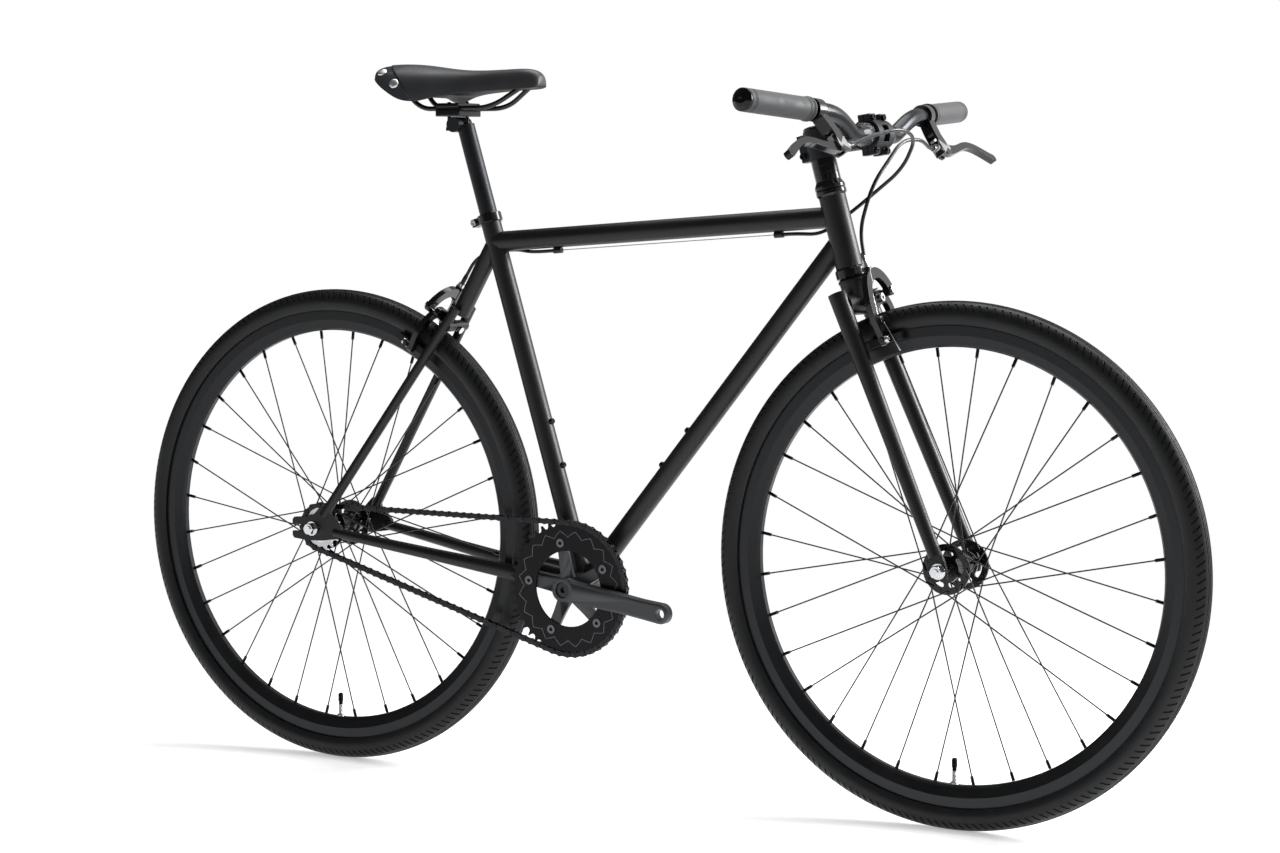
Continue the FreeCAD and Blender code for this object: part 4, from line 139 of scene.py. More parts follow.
def length(label, description, millimetres):
    """A length that a user can change."""
    return bpy.props.FloatProperty(name=label, description=description, default=millimetres * MM, min=0.0,
                                   subtype="DISTANCE", unit="LENGTH", precision=5)


class BicycleColours(bpy.types.PropertyGroup):
    """Colours of the finishes."""

    paint: colour("Frame paint", "#151517")
    alloy: colour("Black alloy", "#303134")
    gloss: colour("Polished black alloy", "#1b1b1d")
    lever: colour("Levers", "#26272a")
    rim: colour("Rims", "#232426")
    crank: colour("Cranks", "#47494c")
    oxide: colour("Black steel", "#323235")
    zinc: colour("Bright steel", "#c9cacc")
    steel: colour("Grey steel", "#6b6c6f")
    spoke: colour("Spokes", "#3d3d40")
    rubber: colour("Tyre rubber", "#1a1b1d")
    grip: colour("Grip rubber", "#353638")
    plastic: colour("Black plastic", "#090909")
    vinyl: colour("Saddle cover", "#303134")
    tail: colour("Saddle tail panel", "#34363c")


class BicycleSizes(bpy.types.PropertyGroup):
    """Sizes of the modelled pieces."""

    tread_pitches: bpy.props.IntProperty(name="Tread pitches", default=196, min=48, max=400,
                                         description="Sipes round each shoulder of a tyre")
    sipe_width: length("Sipe width", "Width of a sipe in the tyre's shoulder", 3.0)
    sipe_depth: length("Sipe depth", "Depth of a sipe in the tyre's shoulder", 1.2)
    rib_depth: length("Rib depth", "Depth of the grooves between the ribs of the tread", 0.5)
    grip_length: length("Grip length", "Length of a grip", 140.0)
    grip_radius: length("Grip radius", "Radius of a grip", 15.0)
    seam_step: length("Seam step", "Depth of the saddle's tail panel below the cover", 1.2)
    rivet_radius: length("Rivet radius", "Radius of a saddle rivet's head", 7.0)


# Finishes


def add(tree, kind, inputs=None, out=0, **settings):
    """Adds a shader node with its settings, links or sets each input, and returns one output."""
    made = tree.nodes.new("ShaderNode" + kind)
    for name, value in settings.items():
        setattr(made, name, value)
    for socket, value in (inputs or {}).items():
        if isinstance(value, bpy.types.NodeSocket):
            tree.links.new(value, made.inputs[socket])
        else:
            made.inputs[socket].default_value = value
    return made.outputs[out] if len(made.outputs) else made


# Sockets of a Mix node that mixes colours, and of one that mixes values
COLOUR_A = 6
COLOUR_B = 7
COLOUR_OUT = 2
VALUE_A = 2
VALUE_B = 3


class Finish:
    """A surface in the making: a tone and a roughness that drift over the piece, and a relief.

    Clouds are given by their size in mm and the share by which they lighten and darken the tone. Grain is
    given by its size and depth in mm; where the real one is too fine to show, it is drawn coarser.
    """

    # Part of the cloud's values over which the roughness changes, and how far it changes
    cloud_span = (0.3, 0.7)
    rough_drift = 0.15

    def __init__(self, name, tone, roughness, clouds, grain, edge_mm=0.5):
        self.material = bpy.data.materials.new(name)
        self.material.use_nodes = True
        self.material.diffuse_color = tone
        self.material.node_tree.nodes.clear()
        self.add = partial(add, self.material.node_tree)
        self.place = self.add("TexCoord", out="Object")
        cloud_mm, drift = clouds
        self.cloud = self.add("TexNoise", {"Vector": self.place, "Scale": 1 / (cloud_mm * MM), "Detail": 4.0})
        tones = {COLOUR_A: scaled(tone, 1 - drift), COLOUR_B: scaled(tone, 1 + drift)}
        self.tone = self.add("Mix", {0: self.cloud, **tones}, COLOUR_OUT, data_type="RGBA")
        low, high = self.cloud_span
        self.rough = self.add("MapRange", {"Value": self.cloud, "From Min": low, "From Max": high,
                                           "To Min": roughness * (1 - self.rough_drift),
                                           "To Max": roughness * (1 + self.rough_drift)})
        self.normal = self.add("Bevel", {"Radius": edge_mm * MM}, samples=4)
        grain_mm, depth_mm = grain
        bumps = self.add("TexNoise", {"Vector": self.place, "Scale": 1 / (grain_mm * MM), "Detail": 2.0})
        self.relief(bumps, depth_mm)

    def relief(self, height, depth_mm, where=None):
        """Adds a height to the surface, all over or where a share is 1."""
        if where is not None:
            height = self.add("Math", {0: height, 1: where}, operation="MULTIPLY")
        self.normal = self.add("Bump", {"Height": height, "Normal": self.normal, "Strength": 1.0,
                                        "Distance": depth_mm * MM})

    def retone(self, share, tone, roughness):
        """Another tone and roughness where share is 1."""
        tones = {COLOUR_A: self.tone, COLOUR_B: tone}
        self.tone = self.add("Mix", {0: share, **tones}, COLOUR_OUT, data_type="RGBA")
        self.rough = self.add("Mix", {0: share, VALUE_A: self.rough, VALUE_B: roughness})

    def away(self, centre):
        """Distance from an axle that runs across the bicycle."""
        flat = self.add("VectorMath", {0: self.place, 1: (1, 0, 1)}, operation="MULTIPLY")
        return self.add("VectorMath", {0: flat, 1: (centre.x, 0, centre.z)}, "Value", operation="DISTANCE")

    def around(self, centre):
        """Angle round an axle that runs across the bicycle, and the place along it."""
        centred = self.add("VectorMath", {0: self.place, 1: centre}, operation="SUBTRACT")
        split = self.add("SeparateXYZ", {0: centred}).node.outputs
        return self.add("Math", {0: split["Z"], 1: split["X"]}, operation="ARCTAN2"), split["Y"]

    def band(self, value, low, high):
        """1 where a value lies between two others."""
        span = {1: (low + high) / 2, 2: (high - low) / 2}
        return self.add("Math", {0: value, **span}, operation="COMPARE")

    def waves(self, value, pitch_mm):
        """Lines a pitch apart along a value."""
        phase = self.add("Math", {0: value, 1: math.tau / (pitch_mm * MM)}, operation="MULTIPLY")
        return self.add("Math", {0: phase}, operation="SINE")

    def shade(self, metallic, constants):
        """Joins what was made to a shader, and gives the material."""
        shader = self.add("BsdfPrincipled", {"Base Color": self.tone, "Roughness": self.rough,
                                             "Normal": self.normal, "Metallic": metallic, **constants})
        self.add("OutputMaterial", {"Surface": shader})
        return self.material


# Finishes without a pattern of their own: key, material, tone or colour property, roughness, clouds, grain,
# rounding of the edges in mm, metallic, and other settings of the shader
PLAIN_FINISHES = (
    # Satin powder coat on steel: deep black with soft edge light and a faint orange peel of 1.4 mm
    ("paint", "satin_powder_coat", "paint", 0.4, (90, 0.2), (1.4, 0.003), 0.5, 0.0,
     {"Specular IOR Level": 0.4}),
    # Black anodised aluminium, bead blasted: dark metal with a silky sheen
    ("alloy", "anodised_black_alloy", "alloy", 0.42, (45, 0.15), (0.5, 0.005), 0.8, 0.8, {}),
    # Polished anodised aluminium of hubs, cups and brake arms: darker and shinier, with bright edges
    ("gloss", "polished_black_alloy", "gloss", 0.2, (30, 0.15), (0.8, 0.003), 0.8, 0.6,
     {"Coat Weight": 0.3, "Coat Roughness": 0.12}),
    # Levers: polished black over bright alloy, so that their faces mirror the room
    ("lever", "polished_lever_alloy", "lever", 0.09, (30, 0.12), (0.8, 0.003), 1.2, 0.7, {}),
    # Forged crank with a tumbled grey finish and rounded edges
    ("crank", "tumbled_crank_alloy", "crank", 0.4, (35, 0.1), (0.4, 0.006), 2.0, 0.6, {}),
    # Blackened steel of the chain, the bottle bolts and the stem's screws, lightly oiled
    ("oxide", "black_oxide_steel", "oxide", 0.2, (12, 0.35), (0.6, 0.006), 0.6, 1.0, {}),
    # Zinc plated steel: bright, a little grey
    ("zinc", "zinc_plated_steel", "zinc", 0.24, (10, 0.1), (0.3, 0.003), 0.5, 1.0, {}),
    # Grey steel of the chainring bolts, duller than zinc
    ("steel", "grey_bolt_steel", "steel", 0.34, (8, 0.15), (0.3, 0.004), 0.5, 1.0, {}),
    # Brushed steel of the saddle's rivets: pale, with no clear mirror
    ("rivet", "brushed_rivet_steel", "#ececee", 0.46, (5, 0.08), (0.4, 0.006), 0.5, 1.0, {}),
    # Chromed steel of axles, nuts and shoe bolts: a mirror with a few dull spots
    ("chrome", "chromed_steel", "#dedfe2", 0.11, (14, 0.06), (0.6, 0.002), 0.5, 1.0, {}),
    # Moulded gloss plastic of the crank caps and the rear ferrule; the rails' black enamel looks alike
    ("plastic", "moulded_black_plastic", "plastic", 0.24, (20, 0.2), (0.6, 0.004), 0.5, 0.0, {}),
    # Moulded base under the saddle, left rough by its mould
    ("base", "rough_saddle_base", "plastic", 0.6, (20, 0.2), (0.8, 0.02), 0.5, 0.0,
     {"Specular IOR Level": 0.25}),
    # Injection moulded end plug, polished in its mould
    ("plug", "gloss_black_plug", "plastic", 0.1, (20, 0.2), (0.6, 0.002), 0.8, 0.0,
     {"Specular IOR Level": 0.35}),
    # Extruded cover of the cable housing: smooth black vinyl
    ("housing", "extruded_cable_housing", "plastic", 0.32, (30, 0.2), (0.5, 0.004), 0.5, 0.0, {}),
    # Brake block compound: dull rubber
    ("block", "brake_block_rubber", "#131314", 0.7, (8, 0.2), (0.5, 0.02), 1.0, 0.0, {}),
)
MATERIALS = {}


def make_finishes(colours):
    """Every finish of the bicycle, once."""
    if MATERIALS:
        return
    for key, name, tone, roughness, clouds, grain, edge_mm, metallic, constants in PLAIN_FINISHES:
        base = linear(tone) if tone.startswith("#") else getattr(colours, tone)
        MATERIALS[key] = Finish(name, base, roughness, clouds, grain, edge_mm).shade(metallic, constants)
    MATERIALS["wire"] = wire_finish(colours)
    MATERIALS["ring"] = chainring_finish(colours)
    MATERIALS["bar"] = bar_finish(colours)
    MATERIALS["grip"] = grip_finish(colours)
    MATERIALS["vinyl"] = vinyl_finish(colours)
    for end, hub in HUBS.items():
        MATERIALS[end + "_rim"] = rim_finish(end, colours, hub)
        MATERIALS[end + "_spokes"] = spoke_finish(end, colours, hub)
        MATERIALS[end + "_valve"] = valve_finish(end, colours, hub)
        MATERIALS[end + "_tyre"] = tyre_finish(end, colours, hub)


def wire_finish(colours):
    """Steel cable whose strands wind round it with a pitch of 1.6 mm."""
    wire = Finish("stranded_steel_wire", colours.zinc, 0.3, (6, 0.12), (0.2, 0.002), 0.1)
    slant = wire.add("VectorMath", {0: wire.place, 1: (1, 1, 1)}, "Value", operation="DOT_PRODUCT")
    wire.relief(wire.waves(slant, 1.6), 0.05)
    return wire.shade(1.0, {})


# Milled line of the chainring: a zigzag of 20 teeth, 9 mm tall, and 0.9 mm wide
ZIGZAG_TEETH = 20
ZIGZAG_HEIGHT = 9 * MM
ZIGZAG_LINE = (72.3 * MM, 73.2 * MM)


def chainring_finish(colours):
    """Turned and anodised plate: circles from the lathe, 0.9 mm apart, and a milled zigzag left bright."""
    ring = Finish("turned_chainring_alloy", colours.gloss, 0.27, (20, 0.2), (0.5, 0.004), 0.4)
    away = ring.away(BRACKET)
    ring.relief(ring.waves(away, 0.9), 0.012)
    around, _ = ring.around(BRACKET)
    teeth = ring.add("Math", {0: around, 1: ZIGZAG_TEETH / math.pi}, operation="MULTIPLY")
    zigzag = ring.add("Math", {0: teeth, 1: 1.0}, operation="PINGPONG")
    rise = ring.add("Math", {0: zigzag, 1: ZIGZAG_HEIGHT}, operation="MULTIPLY")
    line = ring.band(ring.add("Math", {0: away, 1: rise}, operation="SUBTRACT"), *ZIGZAG_LINE)
    ring.relief(line, -0.25)
    ring.retone(line, linear("#77787a"), 0.35)
    return ring.shade(0.8, {})


# Knurl of the bar: cuts round it, their pitch in mm, height of the worn tips, and ends from the middle
KNURL_CUTS = 72.0
KNURL_PITCH = 1.3
KNURL_TIPS = 0.35
KNURL_BAND = (24.5 * MM, 36 * MM)


def bar_finish(colours):
    """Anodised tube with a diamond knurl of 1.3 mm beside the clamp, worn bright on its tips."""
    bar = Finish("knurled_bar_alloy", colours.alloy, 0.27, (50, 0.12), (0.5, 0.004))
    around, across = bar.around(BAR_CENTRE)
    turn = bar.add("Math", {0: around, 1: KNURL_CUTS}, operation="MULTIPLY")
    run = bar.add("Math", {0: across, 1: math.tau / (KNURL_PITCH * MM)}, operation="MULTIPLY")
    ways = [bar.add("Math", {0: turn, 1: run}, operation=way) for way in ("ADD", "SUBTRACT")]
    left, right = [bar.add("Math", {0: way}, operation="SINE") for way in ways]
    knurl = bar.add("Math", {0: left, 1: right}, operation="MULTIPLY")
    patch = bar.band(bar.add("Math", {0: across}, operation="ABSOLUTE"), *KNURL_BAND)
    bar.relief(knurl, 0.16, patch)
    tips = bar.add("Math", {0: knurl, 1: KNURL_TIPS}, operation="GREATER_THAN")
    worn = bar.add("Math", {0: tips, 1: patch}, operation="MULTIPLY")
    bar.retone(worn, linear("#9a9a9c"), 0.3)
    return bar.shade(1.0, {})


def grip_finish(colours):
    """Moulded rubber: dull, dusty, with a skin of 1.1 mm pores."""
    grip = Finish("moulded_grip_rubber", colours.grip, 0.6, (14, 0.3), (0.7, 0.015))
    pores = grip.add("TexVoronoi", {"Vector": grip.place, "Scale": 1 / (1.1 * MM)}, "Distance")
    grip.relief(pores, 0.025)
    return grip.shade(0.0, {"Sheen Weight": 0.15, "Specular IOR Level": 0.35})


# Seam of the saddle's tail panel: it runs forward as it goes down and out, alike on both sides
SEAM_DOWN = 0.8
SEAM_OUT = 0.5
SEAM_AT = SADDLE_TAIL + 822.4 * MM
SEAM_HALF_WIDTH = 0.8 * MM
# Half width of the valleys between the embossed cells, as a share of a cell
VALLEY_SHARE = 0.25


def ahead_of_seam(point):
    """Above 0 ahead of the seam, and below 0 on the tail panel."""
    return point.x + SEAM_DOWN * point.z - SEAM_OUT * abs(point.y) - SEAM_AT


def vinyl_finish(colours):
    """Vinyl embossed as leather in cells of 1.7 mm, with a glossier tail panel behind a dark seam."""
    vinyl = Finish("saddle_vinyl", colours.vinyl, 0.42, (30, 0.1), (0.5, 0.01))
    cells = vinyl.add("TexVoronoi", {"Vector": vinyl.place, "Scale": 1 / (1.7 * MM)},
                      feature="DISTANCE_TO_EDGE")
    valley = vinyl.add("Math", {0: cells, 1: VALLEY_SHARE}, operation="MINIMUM")
    vinyl.relief(valley, 0.07)
    # The saddle lies behind the origin, so that its folded x is its distance back
    folded = vinyl.add("VectorMath", {0: vinyl.place}, operation="ABSOLUTE")
    ways = (-1, -SEAM_OUT, SEAM_DOWN)
    lean = vinyl.add("VectorMath", {0: folded, 1: ways}, "Value", operation="DOT_PRODUCT")
    behind = vinyl.add("Math", {0: lean, 1: SEAM_AT}, operation="LESS_THAN")
    vinyl.retone(behind, colours.tail, 0.24)
    seam = vinyl.band(lean, SEAM_AT - SEAM_HALF_WIDTH, SEAM_AT + SEAM_HALF_WIDTH)
    vinyl.retone(seam, linear("#08080a"), 0.6)
    return vinyl.shade(0.0, {"Specular IOR Level": 0.45})


# Wheels, as distances from the hub, and the tread's floor as a distance from the middle of the tyre's section
RIM_EDGE = 317 * MM
TRACK_LOW = 304 * MM
NIPPLE_LOW = 278 * MM
WALL_TOP = 336 * MM
CROWN_LOW = 346.5 * MM
SECTION_CENTRE = 330 * MM
TREAD_FLOOR = 18.3 * MM
FLOOR_DEPTH = 1 * MM
VALVE_CAP_LENGTH = 17 * MM


def rim_finish(end, colours, hub):
    """Anodised rim whose brake track is turned smooth, with lines 0.8 mm apart."""
    rim = Finish(end + "_rim_alloy", colours.rim, 0.34, (50, 0.12), (0.6, 0.005))
    away = rim.away(hub)
    track = rim.band(away, TRACK_LOW, RIM_EDGE)
    rim.relief(rim.waves(away, 0.8), 0.01, track)
    rim.retone(track, scaled(colours.rim, 1.3), 0.3)
    return rim.shade(0.6, {})


def spoke_finish(end, colours, hub):
    """Drawn steel wire, blackened, with black nipples at the rim."""
    spoke = Finish(end + "_spoke_steel", colours.spoke, 0.3, (20, 0.15), (0.4, 0.003), 0.2)
    nipple = spoke.add("Math", {0: spoke.away(hub), 1: NIPPLE_LOW}, operation="GREATER_THAN")
    spoke.retone(nipple, linear("#121213"), 0.35)
    return spoke.shade(0.9, {})


def valve_finish(end, colours, hub):
    """Nickel plated stem with threads 0.8 mm apart and a black cap."""
    valve = Finish(end + "_valve_nickel", colours.zinc, 0.22, (8, 0.1), (0.3, 0.003), 0.2)
    away = valve.away(hub)
    valve.relief(valve.waves(away, 0.8), 0.1)
    cap_end = hub.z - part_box(end + "_valve")[1].z + VALVE_CAP_LENGTH
    cap = valve.add("Math", {0: away, 1: cap_end}, operation="LESS_THAN")
    valve.retone(cap, linear("#141415"), 0.4)
    return valve.shade(0.9, {})


def tyre_finish(end, colours, hub):
    """Rubber with carbon black: dull, a paler scuffed crown, painted shade in the sipes and grooves, and fine
    casing lines 1.5 mm apart on the wall.
    """
    tyre = Finish(end + "_tyre_rubber", colours.rubber, 0.42, (25, 0.14), (0.8, 0.012))
    away = tyre.away(hub)
    wall = tyre.add("Math", {0: away, 1: WALL_TOP}, operation="LESS_THAN")
    tyre.relief(tyre.waves(away, 1.5), 0.015, wall)
    # Painted shade in the sipes and grooves: darker where the surface lies below the tread
    across = tyre.add("SeparateXYZ", {0: tyre.place}).node.outputs["Y"]
    rise = tyre.add("Math", {0: away, 1: SECTION_CENTRE}, operation="SUBTRACT")
    flat = tyre.add("CombineXYZ", {0: rise, 1: across})
    depth = tyre.add("VectorMath", {0: flat}, "Value", operation="LENGTH")
    recess_shade = tyre.band(depth, TREAD_FLOOR - FLOOR_DEPTH, TREAD_FLOOR)
    tyre.retone(recess_shade, scaled(colours.rubber, 0.3), 0.6)
    crown = tyre.add("Math", {0: away, 1: CROWN_LOW}, operation="GREATER_THAN")
    scuffs = tyre.add("Math", {0: crown, 1: tyre.cloud}, operation="MULTIPLY")
    tyre.retone(scuffs, scaled(colours.rubber, 1.6), 0.62)
    return tyre.shade(0.0, {"Specular IOR Level": 0.28})


# Modelling


def choose(piece):
    """Leaves one piece selected and active."""
    bpy.ops.object.select_all(action="DESELECT")
    bpy.context.view_layer.objects.active = piece
    piece.select_set(True)


def start_edit(piece):
    """Opens the mesh of one piece."""
    choose(piece)
    bpy.ops.object.mode_set(mode="EDIT")


def end_edit():
    bpy.ops.object.mode_set(mode="OBJECT")


def middle(part):
    """Middle of an edge or a face."""
    return sum((v.co for v in part.verts), Vector()) / len(part.verts)


def pick(piece, kind, test):
    """Selects the open mesh's points, edges or faces that pass a test, and counts them."""
    bpy.ops.mesh.select_mode(type=kind)
    bpy.ops.mesh.select_all(action="DESELECT")
    mesh = bmesh.from_edit_mesh(piece.data)
    parts = {"VERT": mesh.verts, "EDGE": mesh.edges, "FACE": mesh.faces}[kind]
    picked = [part for part in parts if test(part)]
    for part in picked:
        part.select_set(True)
    mesh.select_flush_mode()
    bmesh.update_edit_mesh(piece.data)
    return len(picked)


def new_piece(name):
    """The object that an operator has just added, under its name."""
    piece = bpy.context.active_object
    piece.name = name
    piece.data.name = name
    return piece


def copied(name, source):
    """A piece with its own copy of another's mesh."""
    piece = bpy.data.objects.new(name, source.data.copy())
    bpy.context.scene.collection.objects.link(piece)
    return piece


def clean(piece, weld_mm, smooth_angle):
    """Merges doubles, points the faces outwards and smooths all but the sharp edges."""
    start_edit(piece)
    bpy.ops.mesh.select_all(action="SELECT")
    bpy.ops.mesh.remove_doubles(threshold=weld_mm * MM)
    bpy.ops.mesh.normals_make_consistent(inside=False)
    end_edit()
    bpy.ops.object.shade_smooth_by_angle(angle=math.radians(smooth_angle))


def settle(piece, place):
    """Puts a piece in its place and leaves that in its mesh."""
    choose(piece)
    piece.matrix_world = place
    bpy.ops.object.transform_apply(location=True, rotation=True, scale=True)


def drawn(name, points):
    """A piece, left open for editing, that is a line of edges through points."""
    bpy.ops.object.select_all(action="DESELECT")
    bpy.ops.mesh.primitive_plane_add(size=MM)
    piece = new_piece(name)
    start_edit(piece)
    bpy.ops.mesh.select_mode(type="VERT")
    bpy.ops.mesh.select_all(action="SELECT")
    bpy.ops.mesh.merge(type="CENTER")
    bpy.ops.transform.translate(value=points[0])
    for before, after in zip(points, points[1:]):
        bpy.ops.mesh.extrude_vertices_move(TRANSFORM_OT_translate={"value": after - before})
    return piece


def turned(profile, places, steps):
    """Like pieces, one for each named place, turned about their own z from (radius, height) points in mm."""
    (name, _), *others = places
    first = drawn(name, [Vector((r * MM, 0, h * MM)) for r, h in profile])
    bpy.ops.mesh.select_all(action="SELECT")
    bpy.ops.mesh.spin(steps=steps, angle=math.tau, center=(0, 0, 0), axis=(0, 0, 1))
    end_edit()
    clean(first, weld_mm=0.01, smooth_angle=35.0)
    pieces = [first] + [copied(other, first) for other, _ in others]
    for piece, (_, place) in zip(pieces, places):
        settle(piece, place)
    return pieces


FLAT_ANGLE = math.radians(2)
SHARP_ANGLE = math.radians(60)


def rounded(name, node, radius, test):
    """A copy of a solid, in its place, whose sharp edges that pass a test are rounded."""

    def corner(edge):
        return edge.is_manifold and edge.calc_face_angle() > SHARP_ANGLE and test(edge)

    piece = copied(name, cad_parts[node])
    clean(piece, weld_mm=0.01, smooth_angle=30.0)
    start_edit(piece)
    bpy.ops.mesh.select_all(action="SELECT")
    bpy.ops.mesh.dissolve_limited(angle_limit=FLAT_ANGLE)
    pick(piece, "EDGE", corner)
    bpy.ops.mesh.bevel(offset=radius, segments=4, clamp_overlap=False)
    end_edit()
    clean(piece, weld_mm=0.001, smooth_angle=40.0)
    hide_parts(node)
    return piece


def coat(piece, *finishes):
    """Gives a piece its finishes in place of those that it has."""
    make_finishes(bpy.context.scene.bicycle_colours)
    piece.data.materials.clear()
    for finish in finishes:
        piece.data.materials.append(MATERIALS[finish])


def dress(piece, finish, body):
    """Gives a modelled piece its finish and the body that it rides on."""
    coat(piece, finish)
    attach(piece, body)


def paint(node, finish, *regions):
    """Gives a solid its finish, and other finishes to the faces whose middle passes a test."""
    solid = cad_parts[node]
    coat(solid, finish, *(other for other, _ in regions))
    for face in solid.data.polygons:
        passed = [index for index, (_, test) in enumerate(regions, 1) if test(face.center)]
        face.material_index = passed[-1] if passed else 0


def within(place, test):
    """A test on a piece's own axes."""
    back = place.inverted()
    return lambda point: test(back @ point)


class FinishFrame(bpy.types.Operator):
    """Finishes the frame, the fork and what is fixed to them"""

    bl_idname = "bicycle.finish_frame"
    bl_label = "Finish frame and fork"
    bl_options = {"REGISTER", "UNDO"}

    painted = ("head_tube", "top_tube", "down_tube", "seat_tube", "bottom_bracket_shell", "chainstays",
               "monostay", "seatstays", "rear_dropouts", "cable_stops", "steerer_tube", "fork_crown",
               "fork_blades", "fork_dropouts")
    polished = ("headset_cups", "bottom_bracket_cups", "seat_clamp", "headset_spacers")
    chromed = ("rear_axle", "front_axle")
    # Plate between a caliper and the frame, on the caliper's own axes
    plate_back = -20 * MM
    plate_front = 6.9 * MM
    plate_half_width = 32 * MM
    plate_half_height = 22 * MM
    # Heights that part the bottle bolts and the stem's screws from the brakes' bolts
    bottle_bolts_below = 0.62
    stem_bolts_above = 0.8

    def execute(self, context):
        for finish, nodes in (("paint", self.painted), ("gloss", self.polished), ("chrome", self.chromed)):
            for node in nodes:
                paint(node, finish)
        plates = {end: within(place, self.on_plate) for end, place in CALIPERS.items()}
        paint("frame_bolts", "zinc", ("gloss", plates["rear"]), ("oxide", self.bottle_bolt))
        paint("steering_bolts", "zinc", ("gloss", plates["front"]), ("oxide", self.stem_bolt))
        return {"FINISHED"}

    def on_plate(self, point):
        across = abs(point.x) < self.plate_half_width and abs(point.y) < self.plate_half_height
        return across and self.plate_back < point.z < self.plate_front

    def bottle_bolt(self, point):
        return point.z < self.bottle_bolts_below

    def stem_bolt(self, point):
        return point.z > self.stem_bolts_above


class FinishDrivetrain(bpy.types.Operator):
    """Finishes the cranks, the chainring, the chain and the cog"""

    bl_idname = "bicycle.finish_drivetrain"
    bl_label = "Finish drivetrain"
    bl_options = {"REGISTER", "UNDO"}

    cap_start = 52 * MM
    # Outer face of a crank arm: its height at the spindle, how much it leans out along the arm, and play
    arm_face = 60.46 * MM
    arm_lean = 0.0769
    face_play = 0.8 * MM
    # The right arm points forward and a little down; its boss and its pedal eye keep their edges
    arm_length = 165 * MM
    arm_drop = math.radians(7.3)
    arm_rounding = 3.6 * MM
    boss_reach = 17 * MM
    pedal_rim = 10 * MM

    def execute(self, context):
        for side, sign in SIDES.items():
            self.add_crank(side, sign)
        paint("chainring", "ring")
        paint("chain", "oxide")
        paint("chainring_bolts", "steel")
        paint("bottom_bracket_spindle", "zinc", ("plastic", lambda p: abs(p.y) > self.cap_start))
        paint("fixed_cog", "zinc")
        paint("lockring", "chrome")
        return {"FINISHED"}

    def add_crank(self, side, sign):
        """A crank arm whose outer face is rounded off to its sides, as a forging is."""
        along = Vector((math.cos(self.arm_drop), 0, -math.sin(self.arm_drop))) * -sign
        pedal = along * self.arm_length

        def on_outline(edge):
            place = middle(edge) - BRACKET
            run = place.dot(along)
            on_face = abs(place.y * sign - self.arm_face - self.arm_lean * run) < self.face_play
            to_pedal = math.hypot(place.x - pedal.x, place.z - pedal.z)
            return on_face and run > self.boss_reach and to_pedal > self.pedal_rim

        crank = rounded(f"forged_{side}_crank", side + "_crank_arm", self.arm_rounding, on_outline)
        dress(crank, "crank", "crank")


class FinishWheels(bpy.types.Operator):
    """Finishes the rims, spokes, hubs and valves"""

    bl_idname = "bicycle.finish_wheels"
    bl_label = "Finish wheels"
    bl_options = {"REGISTER", "UNDO"}

    def execute(self, context):
        for end in HUBS:
            for piece in ("_rim", "_spokes", "_valve"):
                paint(end + piece, end + piece)
            paint(end + "_hub", "gloss")
        return {"FINISHED"}


class FinishCockpit(bpy.types.Operator):
    """Finishes the stem, the handlebar and the levers"""

    bl_idname = "bicycle.finish_cockpit"
    bl_label = "Finish stem, bar and levers"
    bl_options = {"REGISTER", "UNDO"}

    # On a lever's own axes: its pivot pin, and the barrel that adjusts its cable
    pin_radius = 3.1 * MM
    barrel_start = -26.2 * MM
    barrel_rise = 4 * MM
    barrel_radius = 5 * MM

    def execute(self, context):
        paint("stem", "alloy")
        paint("stem_faceplate", "alloy")
        paint("handlebar", "bar")
        bright = [("zinc", within(lever_axes(side), self.pin_or_barrel)) for side in SIDES.values()]
        paint("lever_brackets", "gloss", *bright)
        for side in SIDES:
            paint(side + "_brake_lever", "lever")
        return {"FINISHED"}

    def pin_or_barrel(self, point):
        pin = math.hypot(point.x, point.y) < self.pin_radius
        barrel = point.x < self.barrel_start and abs(point.y - self.barrel_rise) < self.barrel_radius
        return pin or barrel


